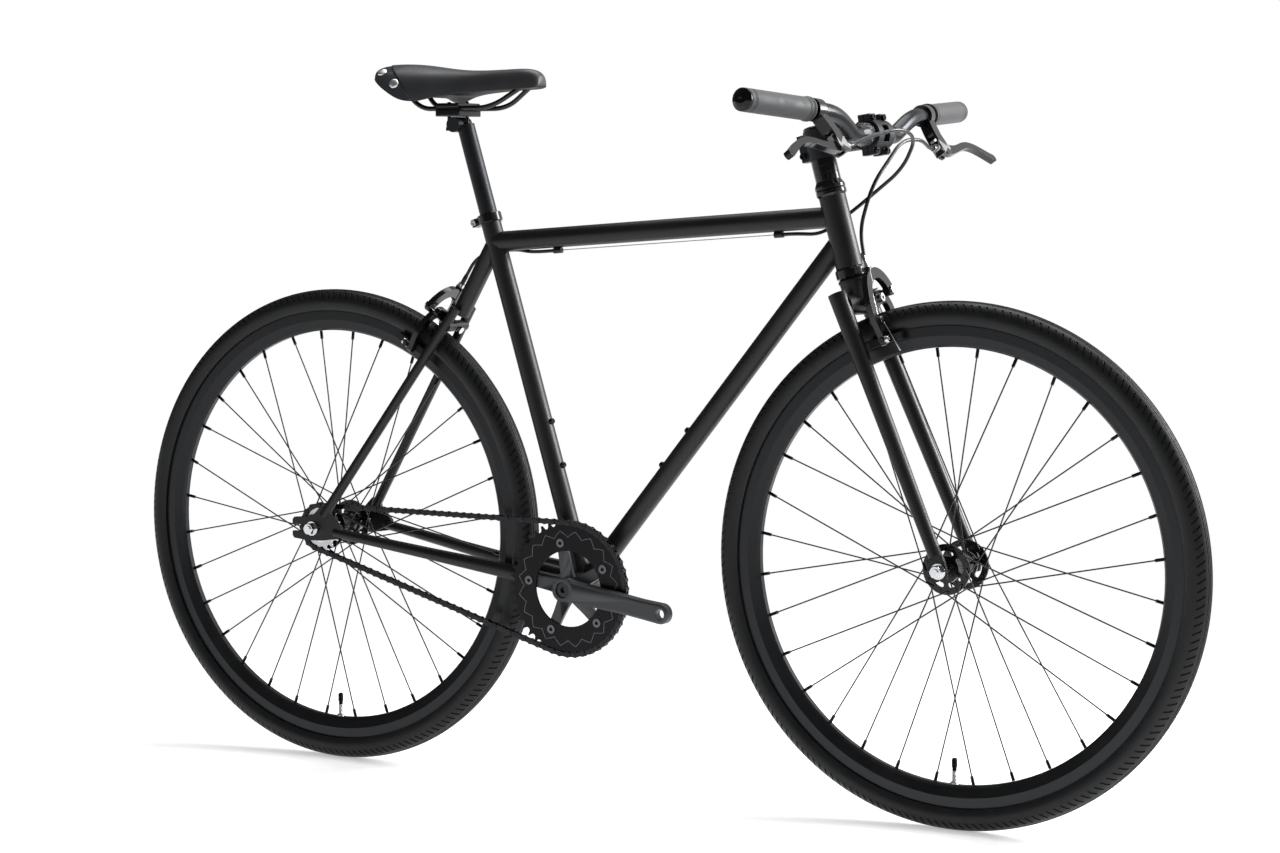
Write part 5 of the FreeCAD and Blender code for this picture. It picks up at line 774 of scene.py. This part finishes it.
class FinishBrakes(bpy.types.Operator):
    """Finishes the brakes and cables, and adds the shoe bolts, ferrules and cable ends"""

    bl_idname = "bicycle.finish_brakes"
    bl_label = "Finish brakes and cables"
    bl_options = {"REGISTER", "UNDO"}

    bolt_profile = ((0, 0.05), (5.4, 0.05), (5.4, 0.9), (4.4, 1.2), (4.4, 3.6), (3.8, 4.3), (2.3, 4.3),
                    (2.3, 2.0), (0, 2.0))
    ferrule_profile = ((2.55, 0), (3.3, 0), (3.3, 10.5), (3.0, 11.0), (3.0, 13.5), (2.7, 14.0), (2.55, 14.0),
                       (2.55, 0))
    tail_profile = ((0, 0), (0.8, 0), (0.8, 31.5), (1.35, 32.0), (1.35, 42.6), (1.0, 43.4), (0, 43.4))
    # On a caliper's own axes: cable tail, rubber block, anchor bolt and adjuster
    tail_start = Vector((-26 * MM, -34.6 * MM, 25.2 * MM))
    tail_end = Vector((-24 * MM, -76 * MM, 38 * MM))
    block_reach = 23.2 * MM
    block_half_height = 13 * MM
    anchor_back = 16 * MM
    anchor_radius = 4.6 * MM
    adjuster_foot = 41.1 * MM
    # Bare wire: how far it reaches from its middle, and its ends under the top tube
    wire_reach = 1.2 * MM
    bare_start = -0.1175
    bare_end = 0.2325
    # Body of each housing's end, arm that holds the cable's tail, and finish of the ferrule
    cable_ends = {
        "front": ("steering", "front_left_arm", "chrome"),
        "rear": ("frame", "rear_right_arm", "plastic"),
    }

    def execute(self, context):
        bolt_places = []
        for end, arm, side in BRAKE_ARMS:
            self.paint_arm(end, arm, side)
            foot = Matrix.Translation((FOOT_X * side, -CALIPER_REACH[end], FOOT_FACE[side]))
            bolt_places.append((arm + "_shoe_bolt", CALIPERS[end] @ foot))
        for bolt, (_, arm, _) in zip(turned(self.bolt_profile, bolt_places, steps=24), BRAKE_ARMS):
            dress(bolt, "chrome", arm + "_arm")
        self.add_cable_ends()
        self.add_loop()
        return {"FINISHED"}

    def paint_arm(self, end, arm, side):
        """Black arm with a rubber block, and a bright anchor bolt or adjuster."""
        reach = CALIPER_REACH[end]

        def block(point):
            return abs(point.x) < self.block_reach and abs(point.y + reach) < self.block_half_height

        def bright(point):
            anchor = point.z > self.anchor_back and (point.xy - ANCHOR).length < self.anchor_radius
            return anchor if side > 0 else point.y > self.adjuster_foot

        place = CALIPERS[end]
        paint(arm + "_brake_arm", "gloss", ("block", within(place, block)), ("zinc", within(place, bright)))

    def add_cable_ends(self):
        """Bare wires, a ferrule on each adjuster, and a crimped tail below each anchor."""
        seat = pointing((CABLE_X, ADJUSTER_TOP, CABLE_Z), (0, 1, 0))
        hang = pointing(self.tail_start, self.tail_end - self.tail_start)
        seats = [(end + "_ferrule", CALIPERS[end] @ seat) for end in self.cable_ends]
        tails = [(end + "_cable_tail", CALIPERS[end] @ hang) for end in self.cable_ends]
        ferrules = turned(self.ferrule_profile, seats, steps=24)
        pairs = zip(ferrules, turned(self.tail_profile, tails, steps=12))
        for (ferrule, tail), (end, (housing_body, arm, finish)) in zip(pairs, self.cable_ends.items()):
            bare = within(CALIPERS[end], self.inner_wire)
            paint(end + "_brake_cable", "housing", ("wire", bare), ("wire", self.wire_under_tube))
            dress(ferrule, finish, housing_body)
            dress(tail, "zinc", arm)

    def inner_wire(self, point):
        away = math.hypot(point.x - CABLE_X, point.z - CABLE_Z)
        return point.y < ADJUSTER_TOP and away < self.wire_reach

    def wire_under_tube(self, point):
        return self.bare_start < point.x < self.bare_end and abs(point.y) < self.wire_reach

    def add_loop(self):
        """A welded, smoothed copy of the housing from the right lever to the top tube, with the housing
        finish, in place of the solid.
        """
        loop = copied("rear_brake_housing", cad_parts["rear_housing_loop"])
        clean(loop, weld_mm=0.005, smooth_angle=40.0)
        coat(loop, "housing")
        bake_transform(loop)
        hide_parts("rear_housing_loop")


class ModelTyres(bpy.types.Operator):
    """Models the tyres with ribs on the crown and slanted sipes on the shoulders"""

    bl_idname = "bicycle.model_tyres"
    bl_label = "Model tyres"
    bl_options = {"REGISTER", "UNDO"}

    radius = 349 * MM
    section_radius = 19 * MM
    section_points = 76
    # Degrees round the section, from the crown: end of the wall, sipes, and grooves beside the ribs
    wall_end = 131.5
    sipe_band = (37.0, 71.0)
    ribs = (3.0, 12.5, 22.0)
    sipe_slant = 0.62
    bead_steps = (Vector((0, -4.6 * MM, 0)), Vector((0, 0, -4.9 * MM)))
    same_place = 0.01 * MM
    same_row = 0.01

    def execute(self, context):
        front = self.tyre(context.scene.bicycle_sizes, "front_tread_tyre")
        rear = copied("rear_tread_tyre", front)
        for end, piece in (("front", front), ("rear", rear)):
            settle(piece, Matrix.Translation(HUBS[end]))
            dress(piece, end + "_tyre", end + "_wheel")
            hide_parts(end + "_tyre")
        return {"FINISHED"}

    def tyre(self, sizes, name):
        """One pitch of the tread is drawn, cut and then turned round the hub, which is at the origin."""
        bpy.ops.object.select_all(action="DESELECT")
        bpy.ops.mesh.primitive_circle_add(vertices=self.section_points, radius=self.section_radius,
                                          location=(0, 0, self.radius - self.section_radius),
                                          rotation=(math.pi / 2, 0, math.pi / 2))
        piece = new_piece(name)
        bpy.ops.object.transform_apply(location=True, rotation=True, scale=True)
        start_edit(piece)
        pick(piece, "VERT", lambda v: abs(self.turn(v.co)) > self.wall_end)
        bpy.ops.mesh.delete(type="VERT")
        self.close_bead(piece)
        self.slant(piece)
        pitch = math.tau / sizes.tread_pitches
        sipe = sizes.sipe_width / self.radius
        land = (pitch - sipe) / 2
        bpy.ops.mesh.select_all(action="SELECT")
        for step in (land, sipe, land):
            bpy.ops.mesh.spin(steps=1, angle=step, center=(0, 0, 0), axis=(0, 1, 0))
        self.cut_tread(piece, sizes, land, land + sipe)
        bpy.ops.mesh.select_mode(type="VERT")
        bpy.ops.mesh.select_all(action="SELECT")
        copies = sizes.tread_pitches - 1
        bpy.ops.mesh.spin(steps=copies, dupli=True, angle=pitch * copies, center=(0, 0, 0), axis=(0, 1, 0))
        end_edit()
        clean(piece, weld_mm=0.02, smooth_angle=28.0)
        return piece

    def rise(self, point):
        """Height over the middle of the section."""
        return math.hypot(point.x, point.z) - self.radius + self.section_radius

    def turn(self, point):
        """Degrees round the section, from the crown."""
        return math.degrees(math.atan2(point.y, self.rise(point)))

    def slant_at(self, point):
        """Angle round the hub by which a point of the tread is drawn out along the tyre."""
        share = min(abs(math.radians(self.turn(point))), math.pi / 2)
        return self.sipe_slant * self.section_radius * share / self.radius

    def close_bead(self, piece):
        """Ends the walls with beads that sit between the rim's edges, and joins them."""
        mesh = bmesh.from_edit_mesh(piece.data)
        ends = [v.co.copy() for v in mesh.verts if len(v.link_edges) == 1]
        tips = []
        for end in ends:
            side = 1 if end.y > 0 else -1
            pick(piece, "VERT", lambda v, end=end: (v.co - end).length < self.same_place)
            for step in self.bead_steps:
                end = end + mirrored(step, side)
                bpy.ops.mesh.extrude_vertices_move(TRANSFORM_OT_translate={"value": mirrored(step, side)})
            tips.append(end)
        pick(piece, "VERT", lambda v: any((v.co - tip).length < self.same_place for tip in tips))
        bpy.ops.mesh.edge_face_add()

    def slant(self, piece):
        """Draws the section out along the tyre, row by row, so that its columns lie slanted."""
        mesh = bmesh.from_edit_mesh(piece.data)
        row_step = math.tau / self.section_points * self.sipe_slant * self.section_radius / self.radius
        rows = {round(self.slant_at(v.co) / row_step, 1) for v in mesh.verts}
        for row in sorted(rows):
            pick(piece, "VERT", lambda v, row=row: abs(self.slant_at(v.co) / row_step - row) < self.same_row)
            bpy.ops.transform.rotate(value=-row * row_step, orient_axis="Y", center_override=(0, 0, 0))

    def cut_tread(self, piece, sizes, sipe_low, sipe_high):
        """Sinks one sipe on each shoulder and the grooves between the ribs."""
        mesh = bmesh.from_edit_mesh(piece.data)
        around = [self.around(v.co) for v in mesh.verts]
        sign = 1 if max(around) > -min(around) else -1
        low, high = self.sipe_band
        half_row = 180 / self.section_points

        def in_sipe(face):
            point = middle(face)
            return low < abs(self.turn(point)) < high and sipe_low < sign * self.around(point) < sipe_high

        def in_groove(face):
            turn = abs(self.turn(middle(face)))
            return any(abs(turn - rib) < half_row for rib in self.ribs)

        if not pick(piece, "FACE", in_sipe):
            raise RuntimeError("no face of the tread lies in a sipe")
        bpy.ops.mesh.normals_make_consistent(inside=False)
        bpy.ops.mesh.extrude_region_shrink_fatten(TRANSFORM_OT_shrink_fatten={"value": -sizes.sipe_depth})
        pick(piece, "FACE", in_groove)
        bpy.ops.mesh.extrude_region_shrink_fatten(TRANSFORM_OT_shrink_fatten={"value": -sizes.rib_depth})

    def around(self, point):
        """Angle round the hub, less the slant."""
        return math.atan2(point.x, point.z) - self.slant_at(point)


class ModelGrips(bpy.types.Operator):
    """Models the grips and their end plugs"""

    bl_idname = "bicycle.model_grips"
    bl_label = "Model grips"
    bl_options = {"REGISTER", "UNDO"}

    # In millimetres: radius of the bore, and distance of the grooves from each end
    bore = 11.2
    grooves = (9.0, 12.0)
    steps = 56

    def execute(self, context):
        sizes = context.scene.bicycle_sizes
        radius = sizes.grip_radius / MM
        sleeve = self.grip_profile(radius, sizes.grip_length / MM)
        ends = [pointing(mirrored(BAR_END, sign), mirrored(BAR_RUN, sign)) for sign in SIDES.values()]
        grips = turned(sleeve, [(side + "_grip", end) for side, end in zip(SIDES, ends)], self.steps)
        dome = self.plug_profile(radius)
        plugs = turned(dome, [(side + "_bar_plug", end) for side, end in zip(SIDES, ends)], self.steps)
        for grip, plug in zip(grips, plugs):
            dress(grip, "grip", "steering")
            dress(plug, "plug", "steering")
        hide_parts("grips")
        return {"FINISHED"}

    def grip_profile(self, r, long):
        """Sleeve with a flange at its inner end and two grooves near each end."""
        points = [(self.bore, -long)]
        points += [(r + 1.2, -long), (r + 1.2, 2.2 - long), (r + 0.7, 3.2 - long), (r, 4.2 - long)]
        for groove in (*self.grooves, *(long - g for g in reversed(self.grooves))):
            at = groove - long
            points += [(r, at - 0.6), (r - 0.5, at - 0.2), (r - 0.5, at + 0.2), (r, at + 0.6)]
        points += [(r, -2.4), (r - 0.3, -1.2), (r - 1.0, -0.4), (r - 2.2, 0.0)]
        return points + [(self.bore, 0.0), (self.bore, -long)]

    def plug_profile(self, r):
        """Collar and a dome with a dimple."""
        return ((0, 0.1), (r - 0.2, 0.1), (r - 0.2, 1.5), (r - 0.8, 2.3), (r - 2.6, 2.9), (r - 3.4, 3.4),
                (r - 5.0, 4.9), (7.0, 5.7), (4.0, 6.0), (2.6, 6.0), (2.0, 5.3), (0, 5.1))


class ModelSaddle(bpy.types.Operator):
    """Models the saddle's padded cover and rivets, and finishes its rails and clamp"""

    bl_idname = "bicycle.model_saddle"
    bl_label = "Model saddle"
    bl_options = {"REGISTER", "UNDO"}

    # From tail to nose, in mm: distance from the tail, half width, height of the crest and of the edge
    stations = ((0, 44, 1019.6, 1005), (3, 52, 1022, 1002), (12, 63, 1023.6, 997), (24, 69, 1024, 989),
                (40, 72, 1024, 979.5), (56, 71, 1023, 970), (76, 64, 1020.5, 965.8), (96, 54, 1017.6, 972),
                (116, 43, 1015, 976.5), (138, 34, 1013, 979.5), (165, 27, 1012.4, 981.5),
                (195, 23.5, 1013, 983), (222, 21.5, 1013.8, 984), (234, 20.4, 1013.4, 984.5),
                (243, 18.8, 1012, 985), (250, 16.4, 1009.4, 986), (255, 13.2, 1005.6, 987.5),
                (257.5, 9.4, 1001, 989.5))
    half_points = 12
    squareness = 2.5
    edge_crease = 0.6
    base_cuts = 5
    fine_levels = 3
    same_place = 0.1 * MM
    # A face that looks down more than this is the base
    base_normal = -0.6
    # Hollow under the saddle: distances from the tail, rise, share of the half width, and play over the edge
    hollow_start = 10 * MM
    hollow_end = 110 * MM
    hollow_rise = 8 * MM
    hollow_share = 0.8
    edge_play = 0.2 * MM
    rivet_profile = ((0, 2.4), (3.4, 2.2), (5.4, 1.4), (6.1, 0.6), (6.2, 0.0), (6.2, -1.0), (0, -1.0))
    # Rivets of one side: a place near each, which is moved to the cover
    rivets = (
        Vector((SADDLE_TAIL + 21 * MM, 61 * MM, 1018 * MM)),
        Vector((SADDLE_TAIL + 52 * MM, 80 * MM, 1000 * MM)),
    )
    clamp_rounding = 2.2 * MM
    clamp_long_edge = 9 * MM

    def execute(self, context):
        sizes = context.scene.bicycle_sizes
        saddle = self.cover()
        self.sink_tail(saddle, sizes.seam_step)
        coat(saddle, "vinyl", "base")
        for face in saddle.data.polygons:
            face.material_index = 1 if face.normal.z < self.base_normal else 0
        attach(saddle, "seat")
        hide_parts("saddle")
        self.add_rivets(saddle, sizes.rivet_radius)
        paint("saddle_rails", "plastic")
        self.add_clamp()
        paint("seatpost", "alloy")
        return {"FINISHED"}

    def add_clamp(self):
        """The clamp's forged blocks, with their long edges rounded."""
        clamp = rounded("forged_saddle_clamp", "saddle_clamp", self.clamp_rounding,
                        lambda edge: edge.calc_length() > self.clamp_long_edge)
        dress(clamp, "gloss", "seat")

    def section(self, half_width, crest, edge):
        """Points across the saddle, from edge to edge over the crest."""
        power = 2 / self.squareness
        for k in range(-self.half_points, self.half_points + 1):
            angle = abs(k) / self.half_points * math.pi / 2
            across = math.copysign(half_width * math.sin(angle) ** power, k)
            height = edge + (crest - edge) * abs(math.cos(angle)) ** power
            yield Vector((SADDLE_TAIL, across * MM, height * MM))

    def cover(self):
        """Sections drawn out from the tail to the nose, closed below and rounded."""
        saddle = drawn("saddle_cover", list(self.section(*self.stations[0][1:])))
        bpy.ops.mesh.select_all(action="SELECT")
        bpy.ops.mesh.select_mode(type="EDGE")
        for (x0, w0, crest0, edge0), (x1, w1, crest1, edge1) in zip(self.stations, self.stations[1:]):
            step = ((x1 - x0) * MM, 0, (edge1 - edge0) * MM)
            bpy.ops.mesh.extrude_edges_move(TRANSFORM_OT_translate={"value": step})
            bpy.ops.transform.resize(value=(1, w1 / w0, (crest1 - edge1) / (crest0 - edge0)),
                                     center_override=(SADDLE_TAIL + x1 * MM, 0, edge1 * MM))
        pick(saddle, "EDGE", self.on_long_side)
        bpy.ops.transform.edge_crease(value=self.edge_crease)
        bpy.ops.mesh.bridge_edge_loops(number_cuts=self.base_cuts, interpolation="LINEAR")
        pick(saddle, "VERT", self.in_hollow)
        bpy.ops.transform.translate(value=(0, 0, self.hollow_rise))
        for station in (self.stations[0], self.stations[-1]):
            pick(saddle, "EDGE", partial(self.on_end, SADDLE_TAIL + station[0] * MM))
            bpy.ops.mesh.edge_face_add()
        end_edit()
        fine = saddle.modifiers.new("fine", "SUBSURF")
        fine.levels = self.fine_levels
        fine.render_levels = self.fine_levels
        bpy.ops.object.modifier_apply(modifier=fine.name)
        clean(saddle, weld_mm=0.001, smooth_angle=50.0)
        return saddle

    def on_long_side(self, edge):
        """Open edges that run along the saddle."""
        start, end = edge.verts
        return edge.is_boundary and abs(start.co.x - end.co.x) > self.same_place

    def on_end(self, x, edge):
        """Open edges that lie in the cut across the tail or the nose."""
        return edge.is_boundary and all(abs(v.co.x - x) < self.same_place for v in edge.verts)

    def in_hollow(self, vertex):
        """Points of the underside, ahead of the tail and behind the waist."""
        along = vertex.co.x - SADDLE_TAIL
        _, half_width, _, edge = min(self.stations, key=lambda station: abs(station[0] * MM - along))
        low = vertex.co.z < edge * MM + self.edge_play
        inside = abs(vertex.co.y) < self.hollow_share * half_width * MM
        return low and inside and self.hollow_start < along < self.hollow_end

    def sink_tail(self, saddle, depth):
        """Lets the tail panel lie below the cover's edge."""
        start_edit(saddle)
        pick(saddle, "VERT", lambda v: ahead_of_seam(v.co) < 0)
        bpy.ops.transform.shrink_fatten(value=-depth)
        end_edit()

    def add_rivets(self, saddle, radius):
        """Domed heads seated on the cover."""
        scale = radius / (max(r for r, _ in self.rivet_profile) * MM)
        places = []
        for side, sign in SIDES.items():
            for number, near in enumerate(self.rivets, 1):
                found, seat, normal, _ = saddle.closest_point_on_mesh(mirrored(near, sign))
                if not found:
                    raise RuntimeError("no seat for a saddle rivet")
                places.append((f"{side}_saddle_rivet_{number}", pointing(seat, normal)))
        rivets = turned([(r * scale, h) for r, h in self.rivet_profile], places, steps=32)
        for rivet in rivets:
            dress(rivet, "rivet", "seat")
        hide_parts("saddle_rivets")


class BuildStage(bpy.types.Operator):
    """Builds the floor, the white surround, the lamps and the camera"""

    bl_idname = "bicycle.build_stage"
    bl_label = "Build stage"
    bl_options = {"REGISTER", "UNDO"}

    # Floor: its glow to the eye, and the distances between which it fades to plain white
    floor_size = 60.0
    floor_parts = 8
    floor_height = -0.4 * MM
    floor_glow = 0.42
    floor_fade = (0.9, 2.0)
    # Surround: its light, its dim front in reflections, and the way to its bright back
    surround_light = 0.46
    room_front = 0.07
    backdrop_way = (0.7, 0.7, -0.1)
    backdrop_edge = (0.1, 0.9)
    # Each lamp: its name, its place, where it aims, its width and height, and its power in watts
    lamps = (
        ("overhead_lamp", (0.1, 0.7, 3.0), (0.0, 0.0, 0.4), (2.8, 1.6), 56.0),
        ("right_lamp", (2.3, 1.7, 1.8), (0.2, 0.1, 0.7), (1.0, 1.7), 130.0),
    )
    # Camera as fitted to the photograph, on a sensor 36 mm wide
    camera_place = (2.0494, -3.4409, 0.8341)
    camera_tip = math.radians(4.57)
    camera_roll = math.radians(0.09)
    camera_turn = math.radians(30.53)
    camera_lens = 81.06
    camera_sensor = 36.0
    camera_far = 200.0

    def execute(self, context):
        scene = context.scene
        scene.view_settings.view_transform = "Standard"
        self.floor()
        self.surround(scene)
        for name, place, aim, size, power in self.lamps:
            self.lamp(scene, name, Vector(place), Vector(aim), size, power)
        self.camera(scene)
        return {"FINISHED"}

    def floor(self):
        """White paper that keeps the shadow near the bicycle and fades to the backdrop's white."""
        bpy.ops.object.select_all(action="DESELECT")
        bpy.ops.mesh.primitive_grid_add(x_subdivisions=self.floor_parts, y_subdivisions=self.floor_parts,
                                        size=self.floor_size, location=(0, 0, self.floor_height))
        floor = new_piece("floor")
        material = bpy.data.materials.new("white_paper_floor")
        material.use_nodes = True
        material.node_tree.nodes.clear()
        node = partial(add, material.node_tree)
        path = node("LightPath").node.outputs
        seen = node("Math", {0: path["Is Camera Ray"], 1: path["Is Glossy Ray"]}, operation="MAXIMUM")
        paper = node("BsdfDiffuse", {"Color": linear("#e8e8e8")})
        lift = node("Math", {0: seen, 1: self.floor_glow}, operation="MULTIPLY")
        near = node("AddShader", {0: paper, 1: node("Emission", {"Strength": lift})})
        away = node("VectorMath", {0: node("TexCoord", out="Object")}, "Value", operation="LENGTH")
        low, high = self.floor_fade
        fade = node("MapRange", {"Value": away, "From Min": low, "From Max": high},
                    interpolation_type="SMOOTHSTEP")
        share = node("Math", {0: fade, 1: seen}, operation="MULTIPLY")
        white = node("Emission", {"Strength": 1.0})
        both = node("MixShader", {0: share, 1: near, 2: white})
        node("OutputMaterial", {"Surface": both})
        floor.data.materials.append(material)

    def surround(self, scene):
        """White to the eye; in reflections bright behind the bicycle and dim in front."""
        world = bpy.data.worlds.new("white_surround")
        scene.world = world
        world.use_nodes = True
        world.node_tree.nodes.clear()
        node = partial(add, world.node_tree)
        path = node("LightPath").node.outputs
        way = node("TexCoord", out="Generated")
        toward = node("VectorMath", {0: way, 1: self.backdrop_way}, "Value", operation="DOT_PRODUCT")
        low, high = self.backdrop_edge
        room = node("MapRange", {"Value": toward, "From Min": low, "From Max": high,
                                 "To Min": self.room_front, "To Max": 1.0})
        light = node("Mix", {0: path["Is Glossy Ray"], VALUE_A: self.surround_light, VALUE_B: room})
        seen = node("Math", {0: path["Is Camera Ray"], 1: path["Is Transmission Ray"]}, operation="MAXIMUM")
        strength = node("Mix", {0: seen, VALUE_A: light, VALUE_B: 1.0})
        shine = node("Background", {"Strength": strength, "Color": (1, 1, 1, 1)})
        node("OutputWorld", {"Surface": shine})

    def lamp(self, scene, name, place, aim, size, power):
        data = bpy.data.lights.new(name, "AREA")
        data.shape = "RECTANGLE"
        data.size, data.size_y = size
        data.energy = power
        lamp = bpy.data.objects.new(name, data)
        lamp.location = place
        lamp.rotation_euler = (aim - place).to_track_quat("-Z", "Y").to_euler()
        scene.collection.objects.link(lamp)

    def camera(self, scene):
        data = bpy.data.cameras.new("camera")
        data.sensor_width = self.camera_sensor
        data.lens = self.camera_lens
        data.clip_end = self.camera_far
        camera = bpy.data.objects.new("camera", data)
        camera.location = self.camera_place
        camera.rotation_euler = (math.pi / 2 - self.camera_tip, self.camera_roll, self.camera_turn)
        scene.collection.objects.link(camera)
        scene.camera = camera


class BicyclePanel(bpy.types.Panel):
    """Lists the bicycle's operators, sizes and colours"""

    bl_idname = "VIEW3D_PT_bicycle"
    bl_label = "Fixed gear bicycle"
    bl_space_type = "VIEW_3D"
    bl_region_type = "UI"
    bl_category = "Bicycle"

    def draw(self, context):
        for operator in OPERATORS:
            self.layout.operator(operator.bl_idname)
        for group in (context.scene.bicycle_sizes, context.scene.bicycle_colours):
            box = self.layout.box()
            for name in group.__annotations__:
                box.prop(group, name)


OPERATORS = (BuildStage, FinishFrame, FinishDrivetrain, FinishWheels, FinishCockpit, FinishBrakes, ModelTyres,
             ModelGrips, ModelSaddle)
CLASSES = (BicycleColours, BicycleSizes, *OPERATORS, BicyclePanel)


def register():
    for cls in CLASSES:
        bpy.utils.register_class(cls)
    bpy.types.Scene.bicycle_colours = bpy.props.PointerProperty(type=BicycleColours)
    bpy.types.Scene.bicycle_sizes = bpy.props.PointerProperty(type=BicycleSizes)


def unregister():
    del bpy.types.Scene.bicycle_sizes
    del bpy.types.Scene.bicycle_colours
    for cls in reversed(CLASSES):
        bpy.utils.unregister_class(cls)


def main():
    register()
    bpy.ops.bicycle.build_stage()
    bpy.ops.bicycle.finish_frame()
    bpy.ops.bicycle.finish_drivetrain()
    bpy.ops.bicycle.finish_wheels()
    bpy.ops.bicycle.finish_cockpit()
    bpy.ops.bicycle.finish_brakes()
    bpy.ops.bicycle.model_tyres()
    bpy.ops.bicycle.model_grips()
    bpy.ops.bicycle.model_saddle()


if __name__ == "__main__":
    main()
